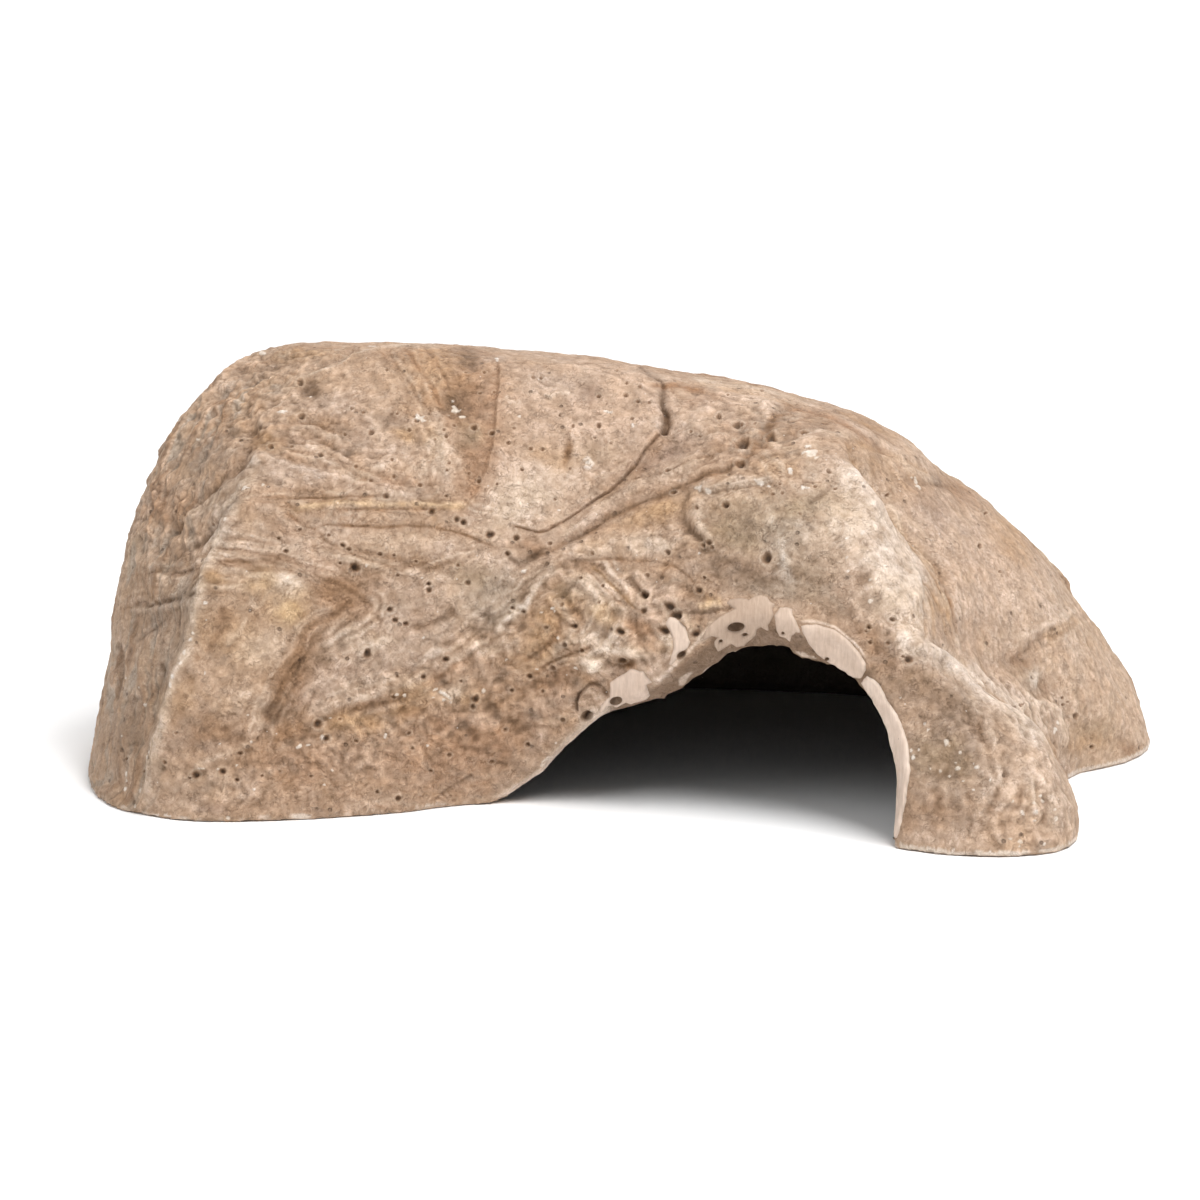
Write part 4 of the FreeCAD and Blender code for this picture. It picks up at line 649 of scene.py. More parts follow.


# ------------------------------------------------------------------ features of the front
# Courses on the view plane.  Before the colon: kind, half width there, height in mm, then paint
# ("-" for none), its strength, its half width, and the fall-off of a crest or step.
# Pale light and cream paint along some ridges and crests, as on the ridges right of the hood and the
# front-left corner, is brightened as their painted highlights.
LINES = list(line_features("""
# big corners of the rock
crest 2 3.2 cream .3 4 17 : 262,470 240,505 222,545 205,590 190,640 178,690 165,745 155,790 150,816
groove 17 -1.5 : 224,500 204,552 184,610 164,660 150,710 140,760 136,800
crest 3 1.9 - 0 0 15 : 836,464 850,480 862,494 878,522 892,544 906,562 911,576 911,598 900,622
crest 2 1.9 - 0 0 11 : 898,630 908,643 922,650 936,656 950,665 964,675 980,686 1000,700 \
1020,717 1036,734 1048,748 1057,762
# the great crack and the slab above it
groove 2.2 -.7 umber .55 4 : 638,364 648,374 657,379 664,383
groove 2.6 -1.3 umber .75 5 : 664,382 662,395 663,408
groove 4.2 -2.3 umber .9 5 : 664,405 667,414 667,424 663,434
groove 1.3 -.9 umber .9 1.7 : 664,430 657,438 645,451 637,464 622,479 609,492 592,502 579,512
stain 11 0 brown .22 11 : 676,440 664,458 648,478 630,496 610,512
stain 6 0 brown .48 6 : 670,408 672,428 662,443 650,456 641,469 626,484 612,497 594,508
groove 1 -.6 brown .85 1.6 : 584,508 561,523 548,530 538,532 523,528 508,524
step 2 .3 - 0 0 22 : 664,382 662,408 667,424 657,438 645,451 637,464 622,479 609,492 592,502 \
579,512 561,523 538,532 508,524
stain 9 0 rust .22 7 : 664,430 645,455 622,482 592,506 560,527
stain 3 0 rust .65 4 : 668,386 684,387 706,391
groove 1.6 -.5 rust .9 3 : 650,387 666,386 681,387 706,389
stain 9 0 brown .62 9 : 806,406 784,414 770,428 757,445 742,462
# spur between the crack and the brown valley
ridge 6 .7 cream .32 6 : 706,459 671,472 640,482 612,500 586,519 560,538
groove 1.4 -.5 brown .45 2.6 : 714,455 699,459 671,470 650,476 628,480
# brown valley
groove 5 -.55 brown .85 4.2 : 790,404 776,416 766,434 750,456 725,470 686,483 668,491 643,501 \
610,516 589,529 560,545 544,552 532,561
groove 1.5 -.35 umber .5 1.9 : 750,456 725,470 686,483 668,491 643,501 610,516 589,529 560,545
stain 7 0 brown .55 7 : 796,407 782,412 770,428
groove 2.4 -.8 umber .65 3.2 : 545,548 534,556 527,562 519,564 511,560 506,552
# brown and ochre lines under the valley
groove 2 -.55 brown .75 3.2 : 566,561 590,560 610,558 635,561 655,561
groove 1.6 -.45 brown .5 3 : 655,561 676,567 688,575 694,584
stain 8 0 brown .22 8 : 570,566 610,566 655,569
groove 1.3 -.4 ochre .75 2.4 : 589,565 600,573 610,583 625,598 638,611
groove 1.1 -.3 rust .5 2.2 : 584,566 597,579 609,592 622,606
stain 3 0 brown .45 4 : 618,530 620,548 622,573
# gouge and hollows above the entrance
groove 3.2 -1.2 umber .55 4 : 627,575 632,583 640,591 649,597
groove 2.4 -.7 umber .55 3 : 681,614 695,613 709,612 724,609 733,607
ridge 4.5 .7 ochrelight .65 5 : 697,606 709,604 722,604
stain 4 0 brown .45 5 : 694,584 689,597 686,610
# cream ridge left of the entrance
ridge 4.5 .95 cream .62 4.6 : 560,565 543,575 533,590 528,602 515,611 502,624 493,636
ridge 2.6 .35 chip .55 3 : 531,596 526,606 520,611
groove 5 -.6 grey .45 6 : 553,561 536,573 524,590 513,605 498,619 484,634
groove 5 -.7 brown .45 5.5 : 457,607 444,618 428,625 411,630
# hood plate
groove 4 -.9 greybrown .7 4.5 : 688,488 682,503 682,516 689,529 697,537 706,543
ridge 4.5 .7 cream .35 5 : 699,496 698,512 700,525 708,536 716,540
step 2 .7 - 0 0 22 : 778,478 757,484 735,488 706,492 695,489
stain 16 0 brown .2 16 : 640,470 622,486 604,498
groove 2.6 -.6 brown .85 3 : 540,600 552,607 562,618 560,632 550,645 536,655 520,662
groove 2.2 -.7 brown .85 2.6 : 596,645 580,650 562,657 546,665 532,676
ridge 3 .4 cream .5 3.5 : 552,598 566,610 575,626 568,642 550,656
groove 2 -.7 ochredark .8 2.6 : 850,452 858,470 862,486 872,498 880,508
groove 1.6 -.6 ochre .8 2.4 : 880,505 886,521 893,540 902,555 914,565
ridge 2.2 .5 cream .6 2.6 : 886,500 896,520 906,540 920,556 940,572
groove 1.4 -.5 ochre .75 2.2 : 905,540 920,560 935,580 946,605 951,630
ridge 1.8 .4 cream .55 2.2 : 940,590 950,610 955,632 957,650
groove 2 -.5 rust .8 3.2 : 786,405 815,412 842,424 866,440 888,456 906,474
groove 1.2 -.3 brown .6 1.8 : 690,372 730,380 780,392 830,408 870,428 905,452
ridge 3.2 .3 cream .55 4.2 : 257,463 248,476 232,508 219,542 209,575 201,608 196,642 186,664 \
177,688 165,730 154,765 148,802
ridge 2.6 .35 cream .45 4 : 694,488 706,492 730,488 757,483 776,479
groove 2.4 -.7 umber .6 2.8 : 833,486 826,492 816,499 807,503
stain 11 0 greybrown .4 11 : 694,545 712,552 735,561 760,570
groove 5 -.5 greybrown .25 7 : 699,549 716,556 736,567 752,578
# raised scales
ridge 2 .4 cream .45 2.2 : 543,394 551,397 561,393 571,394
groove 1.6 -.35 umber .45 2 : 539,391 544,396 550,399
ridge 1.8 .35 cream .4 2.2 : 505,396 509,401 516,405 521,402
ridge 1.8 .45 chip .5 2 : 582,462 588,459 594,464 590,468 583,467
# lines across the front face
groove 1.4 -.45 brown .6 2 : 264,501 287,499 302,498 335,497 368,496 392,494
ridge 3.4 .75 ochrelight .6 4 : 284,513 300,508 335,502 366,505 400,504 431,505 458,506 474,501
groove 1.5 -.4 rust .55 2.2 : 338,510 386,509 420,509 443,509
groove 1.5 -.42 brown .95 2.2 : 317,531 320,526 328,524 348,526 379,527 404,526 430,527 \
458,532 477,539 490,546 502,553
groove 2 -.55 brown .55 3 : 318,530 325,540 335,546 347,552 361,558 378,562 392,565
groove 2 -.45 rust .5 3.4 : 318,530 305,526 294,518 284,512
stain 4 0 brown .45 6 : 345,545 378,554 419,566 457,571
groove 3.4 -.4 : 350,549 380,556 419,566 450,570
ridge 5 .45 cream .2 6 : 330,552 360,562 392,570 425,577 452,581
stain 2.5 0 brown .35 3 : 341,527 343,542
stain 2.5 0 brown .3 3 : 394,527 396,543
stain 2.5 0 brown .3 3 : 404,527 407,545
# arcs of the upper left front
groove 2.6 -.45 brown .45 4 : 284,422 300,419 318,424 341,433 356,437
ridge 3 .4 cream .25 4 : 287,428 303,425 322,431 343,440
groove 3 -.55 brown .5 5 : 276,437 292,433 310,436 328,444 345,452
groove 2.8 -.6 brown .5 3.6 : 281,454 295,459 308,464 322,467 338,467 356,474 372,480
ridge 4 .5 lilac .4 7 : 262,459 275,459 290,465 305,471 330,475 356,482
groove 2.6 -.5 umber .5 2.6 : 264,482 272,481 282,484
# edges of the stained stripe
step 1.6 -.35 - 0 0 16 : 498,354 499,371 497,400 495,430 492,448 487,466 479,487 469,505
stain 3 0 rust .5 5 : 496,358 497,376 494,400 493,428 490,448 484,468 477,486 467,503
groove 2.2 -.4 rust .5 3 : 402,349 414,362 426,379 437,396 444,408
groove 2 -.35 brown .38 3 : 388,354 401,372 413,390 424,410
groove 2 -.35 brown .42 3 : 425,349 436,362 446,380 452,395
stain 3 0 rust .42 5 : 444,407 447,430 451,463 458,484 465,503
stain 3 0 ochre .35 4 : 430,462 437,442 432,430 424,445
# swirls low on the left of the front
stain 6 0 brown .5 7 : 218,563 240,562 264,562 290,568 312,578 338,588 362,600 372,612
groove 2.4 -.45 brown .4 3 : 222,563 264,562 290,568 315,580
stain 10 0 brown .5 11 : 350,604 332,626 312,645 297,664 286,684 276,706
stain 11 0 brown .45 13 : 322,578 340,590 356,600 344,618 326,634
groove 4.5 -.55 brown .3 5 : 352,598 332,620 314,640 299,660 289,682
groove 2.4 -.5 umber .45 3 : 301,664 296,674 300,664 306,655
ridge 8 .6 lilac .3 10 : 304,690 320,676 340,664 362,654 388,646
ridge 6.5 .7 cream .35 6 : 316,714 335,704 358,697 378,692 394,688 410,682 424,675
groove 5 -.6 brown .35 6 : 312,724 336,716 360,708 388,702 408,696
stain 7 0 ochre .35 9 : 325,730 345,722 370,720 395,712 420,700 440,688
ridge 4 .6 cream .3 5 : 446,660 460,652 476,646 492,640
stain 6 0 rust .35 7 : 450,668 468,660 486,656
groove 4 -.55 brown .45 5 : 222,604 228,616 226,628 214,642 206,656
ridge 4 .4 cream .22 5 : 238,606 246,618 240,632 226,648
stain 7 0 brown .4 8 : 272,706 282,728 292,742 304,756 322,770
ridge 5 .5 cream .3 4 : 192,770 205,762 222,754 240,748 252,742
groove 4 -.5 greybrown .45 5 : 190,780 205,772 225,764 243,758
stain 8 0 brown .4 10 : 188,742 212,738 232,742 244,752
groove 2.6 -.8 umber .55 3 : 474,774 464,781 452,788 440,796
stain 4 0 violet .5 4 : 196,812 214,809 232,812
# front-left corner and the left face
ridge 4.6 1 greylight .6 6.5 : 262,456 250,466 234,479 218,491 205,502 193,514 184,526
groove 8.5 -1.7 brown .45 11 : 256,414 254,424 249,443 238,466 226,479 213,490 196,502 184,512 \
174,526 168,542
groove 3.6 -.6 umber .4 5 : 250,430 247,446 236,466 222,480 208,493
groove 3.2 -1.1 umber .6 4.2 : 246,498 236,508 227,517 213,531 200,541 188,549
stain 6 0 umber .5 8 : 190,548 178,552 170,546 168,534
ridge 4 .5 greylight .35 6 : 240,506 228,522 214,538 204,552
stain 9 0 greylight .4 11 : 262,462 250,480 232,500 214,518
ridge 2.6 .5 greylight .45 4 : 150,569 160,565 172,566 184,562
groove 2 -.6 umber .45 3 : 148,574 162,572 180,572 196,566
groove 3 -.8 umber .4 5 : 130,606 140,602 152,606 170,600 186,597 204,594
ridge 3 .5 greylight .28 4 : 134,613 150,609 170,606 190,600
groove 2 -.6 umber .45 3 : 164,617 152,628 143,636 136,643
groove 2.4 -1 umber .6 3 : 117,640 121,652 120,664 121,676 118,690 114,702
groove 4 -.8 umber .32 6 : 156,660 162,672 158,684 150,694
groove 6 -.9 greybrown .45 9 : 134,694 130,712 128,730 130,748
ridge 5 .5 cream .25 4 : 178,684 168,706 160,730 153,756 150,780 149,804
groove 2.2 -.6 umber .45 3 : 132,790 134,806 137,816
ridge 4 .5 greylight .2 4 : 138,640 140,670 134,700 128,740 126,790
# terrace at the top left
ridge 2.4 .55 cream .5 2.8 : 298,379 308,374 325,370 336,366 344,360 353,355 366,351 392,347 \
420,346 446,347
step 2 .55 - 0 0 16 : 300,377 325,370 340,365 353,355 366,351 392,347 430,346
groove 2.8 -.8 umber .4 3.6 : 314,366 328,362 338,358 350,352 362,347
groove 1.8 -.5 brown .4 2.6 : 244,352 258,346 272,352 290,349 312,346 336,345
ridge 2.4 .4 greylight .35 3 : 250,356 268,350 284,356 292,350
groove 1.8 -.5 brown .4 2.6 : 222,392 238,381 254,372 270,368 286,366
groove 1.6 -.4 brown .35 2.6 : 210,408 228,392 246,382 262,380
groove 2 -.7 umber .65 2.2 : 258,378 264,376 271,378
stain 8 0 brown .45 10 : 226,398 222,412 228,430 224,446
ridge 2.8 .5 greylight .3 3.4 : 190,470 202,464 214,461 226,454 240,449
# right of the hood
ridge 10 1.1 light .75 17 : 834,462 846,474 858,490 868,506 878,522 890,540 904,558 911,576 911,598
groove 5 -2 ochre .42 4.2 : 846,436 852,448 858,460 864,473 872,486 880,499 886,512 892,522 \
904,534 920,546 934,558 943,572 947,588
groove 1.6 -.5 brown .55 2 : 852,448 860,468 868,484 880,505 892,524 906,538 921,549
groove 1.6 -.5 ochre .6 2.6 : 858,456 862,470 861,484
groove 1.4 -.4 ochre .7 2 : 904,541 918,551 930,562 940,574
groove 1.2 -.35 ochre .5 2 : 908,548 920,557 932,569 938,580
groove 1.4 -.8 ochredark .85 2 : 946,587 949,602 953,620 957,637
groove 4.6 -1.9 ochre .4 4 : 930,642 940,648 952,658 964,672 984,690 1006,705 1024,716 \
1042,730 1056,752
groove 1.4 -.5 ochredark .65 2 : 945,650 958,662 972,678
ridge 4 .8 cream .45 5 : 1020,706 1034,704 1046,706 1056,713 1061,726 1060,744
groove 3 -.9 brown .5 4 : 1042,716 1050,724 1054,738 1056,752
ridge 6.5 1 light 1 11 : 896,630 908,645 922,651 936,656 950,665 964,675 980,686 1000,700 \
1020,718 1036,734 1048,748
groove 2.6 -.6 greybrown .35 4 : 912,652 926,660 938,664 944,674 956,684 972,697 988,711
ridge 5 .6 cream .3 6 : 948,688 962,694 974,704 982,716 990,734 991,752
stain 9 0 greybrown .4 12 : 906,664 926,676 946,692 968,706
stain 9 0 greybrown .35 12 : 940,720 962,716 980,722 984,744
groove 3.4 -.6 brown .35 4 : 981,712 980,726 984,740 992,752
groove 4.5 -.7 brown .32 6 : 1008,770 1004,786 994,802 986,816
groove 3.6 -.6 brown .3 5 : 1022,782 1020,800 1012,818
groove 3.2 -.5 brown .25 4 : 1044,790 1046,808 1042,826
groove 4.5 -.6 brown .25 6 : 966,790 972,806 968,824
groove 4.5 -.6 brown .25 6 : 932,786 938,800 934,820
ridge 3.2 .6 cream .35 4 : 1030,776 1034,796 1034,816
ridge 3 .5 cream .35 4 : 1050,792 1054,810 1054,826
ridge 3.6 .5 cream .25 4 : 998,764 1001,782 1014,800
stain 6 0 brown .4 7 : 920,780 940,774 964,776
stain 7 0 ochre .5 8 : 1044,640 1060,630 1077,618
stain 7 0 brown .4 8 : 1014,648 1030,644 1046,640
ridge 6 .5 cream .25 7 : 1010,640 1034,634 1056,622 1074,610
groove 5 -.6 : 1016,652 1034,646 1054,640
# wrinkles by the crease
groove 1.6 -.45 ochre .3 2 : 918,600 923,614 925,630 922,642
groove 1.6 -.45 ochre .35 2 : 926,596 932,610 935,626 934,642
groove 1.6 -.45 ochre .35 2 : 933,592 940,606 944,622 946,638
groove 1.6 -.4 ochre .3 2 : 920,584 928,588 936,598 940,612
# upper right
groove 2.2 -.5 ochre .4 3 : 852,438 874,450 894,458 916,468 934,476
groove 1.6 -.4 ochre .35 2.6 : 836,410 856,420 880,430 900,440
groove 1.6 -.4 brown .3 2.6 : 826,402 848,408 872,418 896,430 918,446
ridge 4 .5 cream .35 5 : 878,452 900,464 922,476 940,482
groove 3.4 -.6 brown .38 5 : 900,478 920,484 944,484 962,492
ridge 2.6 .4 cream .4 3 : 690,378 730,385 770,393 806,401
groove 1.6 -.4 ochre .35 2.4 : 694,382 734,390 774,399 800,406
# flake left of the entrance, and pale edges round it
groove 1.7 -.8 umber .75 2.2 : 579,713 576,703 578,695 584,690 590,684 596,683 602,687 608,698
step 1.6 .5 - 0 0 9 : 579,713 576,703 584,690 590,684 602,687 608,698
ridge 2.4 .5 patch .9 2.6 : 652,683 662,677 671,668 675,664 685,655 698,641 704,634 712,628
ridge 3 .2 patch .85 4.2 : 698,641 704,634 712,628 722,619
ridge 2.6 .4 patch .85 3.6 : 607,699 604,711 592,712 583,724 572,741 560,761
ridge 1.5 .45 patch .75 1.7 : 798,621 810,621 822,623 835,627 844,634 852,641 860,650 866,660
"""))

# Spots: x, y, half length, half height, angle, paint, strength, height mm
# The light spot right of the hood (880,570) is a painted highlight.
BLOBS = """
320,752,150,40,0,brown,.32,0 470,760,60,30,-20,rust,.3,0 290,690,26,50,12,ochredark,.4,0
310,650,22,40,30,rust,.35,0 350,598,30,20,20,rust,.45,0 952,752,34,40,10,greybrown,.5,-.4
470,400,34,60,0,rust,.28,0 1110,722,30,30,0,tanlight,.4,0 350,380,70,24,0,ochre,.22,0
620,380,50,14,8,tan,.45,0 990,830,60,24,0,tan,.35,0 520,700,60,40,-25,ochredark,.22,0
565,440,95,80,-25,pink,.5,0 600,410,60,34,0,pink,.25,.2
560,382,30,12,10,lilac,.5,-.4 588,392,16,12,0,violet,.45,-.4
545,470,60,24,-15,pinklight,.35,.2 520,500,42,24,-25,cream,.45,.3
566,452,5,11,10,ochredark,.55,-.5 552,458,28,10,15,ochre,.3,-.4
600,455,26,12,0,olive,.22,-.3 640,425,22,40,0,pink,.4,.2
468,420,30,66,-4,rust,.45,-.3 467,356,14,10,0,umber,.45,-.3
457,405,15,17,0,umber,.5,-.5 469,436,12,12,0,olive,.55,-.4
474,470,18,30,10,rust,.4,0 430,372,34,30,0,ochre,.35,.2
398,360,26,12,0,rust,.3,0 360,385,55,26,0,tan,.35,.4
330,400,30,14,0,lilac,.45,-.2 310,389,13,9,-10,umber,.55,-.7
346,428,30,14,10,brown,.3,-.4 380,440,40,18,0,lilac,.32,.2
442,452,14,28,-12,cream,.45,.3 404,434,12,7,20,ochre,.5,0
391,422,14,8,10,umber,.35,-.4 398,482,30,7,5,rust,.35,-.2
300,474,40,10,8,lilac,.45,.2 370,488,40,8,3,lilac,.3,0
262,440,22,12,30,ochre,.35,0 274,515,26,16,40,rust,.3,0
290,545,26,12,10,lilac,.35,.2 258,552,24,8,0,pink,.25,.2
250,525,18,14,40,tanlight,.25,0 400,540,60,10,3,tanlight,.4,.3
460,552,40,12,10,lilac,.32,.2 410,600,50,26,0,lilac,.25,.2
320,566,22,10,0,pink,.3,0 350,590,22,14,20,brown,.5,-.3
215,577,16,9,0,ochre,.6,.3 262,580,18,12,0,ochrelight,.5,.3
292,584,16,14,0,cream,.55,.5 290,609,20,18,10,ochrelight,.6,.6
235,640,34,30,20,ochre,.4,.5 262,648,24,20,0,cream,.3,.3
222,622,9,13,20,brown,.45,-.4 275,711,14,12,0,umber,.55,-.6
288,680,14,30,15,brown,.4,-.3 317,660,20,14,-25,greybrown,.35,-.3
318,690,24,11,-25,lilac,.45,.2 360,676,30,14,-15,lilac,.35,.3
345,635,30,16,-35,cream,.28,.4 400,650,30,22,-15,lilac,.4,.4
372,642,16,8,-10,cream,.4,.4 205,730,30,18,-10,brown,.4,-.5
180,700,20,24,20,ochre,.3,.3 240,700,26,20,0,tanlight,.25,.4
222,782,30,16,0,tanlight,.22,.3 300,770,40,20,10,rust,.28,-.2
360,760,50,24,5,pink,.22,.2 430,740,44,34,-10,rust,.32,0
350,722,36,12,-8,ochre,.4,.2 412,690,22,12,-20,ochre,.45,.3
410,712,16,12,0,ochredark,.35,-.4 438,676,12,10,0,rust,.45,-.4
456,692,14,10,-20,cream,.4,.5 470,700,12,12,0,ochre,.4,.4
484,722,18,12,0,pink,.3,.5 464,735,16,12,0,brown,.35,-.4
500,745,22,14,-20,rust,.4,.3 522,726,14,12,0,brown,.35,-.4
486,600,34,30,-40,greylight,.42,-.2 470,574,30,12,10,olive,.3,-.2
490,619,11,6,30,umber,.4,-.4 500,585,16,14,0,grey,.35,-.3
533,556,14,5,-25,umber,.45,-.5 531,545,12,6,30,rust,.45,.4
557,615,30,26,-30,ochre,.45,.5 600,588,30,16,20,cream,.35,.5
565,592,14,10,0,olive,.35,-.4 575,610,10,14,20,brown,.4,-.5
540,650,26,20,-30,ochre,.4,.4 575,626,8,6,0,rust,.6,-.8
605,612,18,12,30,ochrelight,.35,.5 600,640,24,14,10,cream,.35,.6
592,662,12,8,0,cream,.55,.9 624,662,9,6,-10,ochredark,.6,-1.2
628,650,16,5,10,cream,.45,.7 560,680,20,16,0,rust,.35,-.5
545,705,20,14,-20,pink,.3,.5 640,630,18,10,30,rust,.45,-.3
655,616,18,8,40,pink,.45,.5 660,590,24,9,30,pink,.45,.4
700,596,14,7,10,brown,.5,-.4 672,640,10,14,20,cream,.4,.4
645,545,40,10,-5,cream,.3,.4 600,548,40,8,-8,tanlight,.4,.4
640,518,36,12,-20,ochre,.35,.3 668,505,30,9,-20,ochre,.35,.3
655,460,30,9,-22,violet,.4,-.3 600,512,26,8,-30,pink,.35,.3
690,420,26,26,0,lilac,.28,0 700,400,24,8,0,rust,.4,-.2
672,450,18,10,-30,violet,.4,-.4 730,440,30,16,-20,brown,.28,-.3
720,410,40,16,10,pink,.3,.2 760,405,30,12,10,pinklight,.35,.3
800,440,24,12,0,tan,.4,.3 800,425,26,8,-20,brown,.35,-.3
740,500,34,22,0,tanlight,.3,.5 760,520,50,26,0,olive,.4,.2
790,540,40,30,10,greylight,.42,.2 810,505,30,12,-10,olive,.38,-.2
735,540,30,14,15,olive,.38,-.2 740,575,46,16,10,greybrown,.5,-.3
770,590,34,12,5,grey,.45,-.2 812,580,26,24,0,grey,.4,0
786,566,7,22,-10,greylight,.6,.5 830,600,28,12,20,grey,.3,0
845,520,24,30,-20,cream,.45,.4 880,570,24,34,-20,light,.55,.3
862,578,9,8,0,brown,.4,-.5 870,600,9,9,0,greybrown,.5,-.4
895,600,24,18,0,cream,.5,.4 912,624,20,20,0,cream,.4,.2
862,630,14,10,20,brown,.4,-.5 876,650,16,12,20,brown,.4,-.3
890,664,16,12,0,brown,.35,-.4 882,634,12,10,0,tan,.3,.3
905,690,26,18,20,greybrown,.35,-.3 950,705,30,20,20,greybrown,.5,-.4
940,760,34,26,0,olive,.32,0 975,722,10,18,0,umber,.22,-.5
1000,750,22,26,-20,tan,.3,.3 1028,770,22,24,-20,pinklight,.35,.2
940,815,30,20,0,brown,.28,-.3 990,812,26,20,0,tan,.25,-.3
1050,840,20,8,0,pink,.3,0 905,800,9,30,0,brown,.3,0
990,560,60,50,30,pink,.45,0 950,530,30,20,40,lilac,.4,.2
930,510,26,14,40,violet,.22,0 1010,540,18,30,-25,ochre,.3,0
1020,600,40,24,40,pinklight,.35,.2 966,600,18,20,0,pinklight,.35,.2
970,640,16,26,0,pink,.4,.3 1000,670,14,26,10,tan,.4,-.3
1032,681,10,14,0,greylight,.6,.4 1052,668,20,14,30,tanlight,.3,.3
1090,690,26,30,20,pink,.3,.2 1100,730,30,14,0,olive,.25,-.2
1020,660,14,9,0,brown,.4,-.4 1044,690,8,14,20,brown,.3,-.4
1090,745,30,9,-10,ochre,.3,0 1130,720,14,24,20,pink,.35,0
1130,750,12,8,0,rust,.45,0 960,490,30,10,40,rust,.35,-.2
900,452,40,9,24,pinklight,.45,.2 850,425,40,8,20,pink,.35,0
938,480,10,6,30,umber,.22,-.4 150,620,30,14,-30,greybrown,.35,-.2
140,545,18,16,-30,grey,.25,0 125,740,18,40,10,greybrown,.4,-.4
170,660,18,40,20,grey,.35,0 190,600,24,20,20,grey,.4,0
168,500,24,20,-40,rust,.25,0 200,455,24,14,-40,greybrown,.35,-.2
240,370,26,12,-30,pink,.3,0 280,360,24,6,-6,greybrown,.3,-.2
300,354,30,6,-4,ochre,.3,0
"""

# x, y, half length, half height, angle, how rough
ROUGH = table("""
480,705,110,60,-15,1.25 560,650,70,55,-20,1.3 640,605,80,34,20,1.3 650,640,50,40,0,1.2
350,740,90,40,0,1.3 230,775,60,26,0,1.2 745,440,60,36,-20,1.2 700,548,40,20,10,1.1
460,400,40,60,0,.9 230,400,70,60,-40,1.6 170,520,50,60,-40,1.5 340,440,70,40,10,1.1
560,440,70,60,0,.4 280,620,60,50,0,.35 845,530,50,70,0,.18 880,640,30,30,0,1.1
950,740,60,50,20,1.05 1020,810,50,40,0,1.15 1040,720,40,30,20,1.1 790,540,60,40,0,.85
330,700,40,20,0,.5 1000,560,60,60,0,.35 1090,730,40,40,0,.5
""")

# Marbling that runs beside a course: reach, period, strength, relief
BANDS = """
27 7 .62 .3 : 190,548 240,556 290,567 343,590 368,607 345,624 317,640 292,672 272,713 262,760
22 6.5 .58 .34 : 450,655 490,622 530,585 560,568 600,570 622,600 600,640 557,655 517,676
17 6 .4 .18 : 250,500 330,497 400,494 470,500 520,512 560,520
13 6 .4 .18 : 300,548 340,560 390,566 440,560 490,548
24 8 .5 .28 : 297,713 357,693 410,678 463,655 500,630 550,610
30 6.5 .5 .12 : 396,345 410,365 426,407 440,450 450,493
16 7 .42 .28 : 860,455 872,490 887,520 910,545 933,565 955,610 962,650
14 7 .42 .22 : 1000,653 1040,640 1067,627 1093,607
20 8 .42 .18 : 667,380 720,398 773,407 867,427 933,467
15 7 .5 .3 : 116,610 150,604 185,592 222,583 255,580
10 6 .45 .25 : 118,576 160,572 200,562 240,560
15 6.5 .42 .2 : 690,470 740,450 790,432 830,425
14 6 .4 .12 : 560,500 600,480 640,455 665,430
16 7 .35 .15 : 700,575 740,566 790,575 830,590
22 7.5 .45 .3 : 215,440 260,430 310,445 360,470 400,480
12 5.5 .45 .2 : 610,600 640,620 668,640 690,655
"""

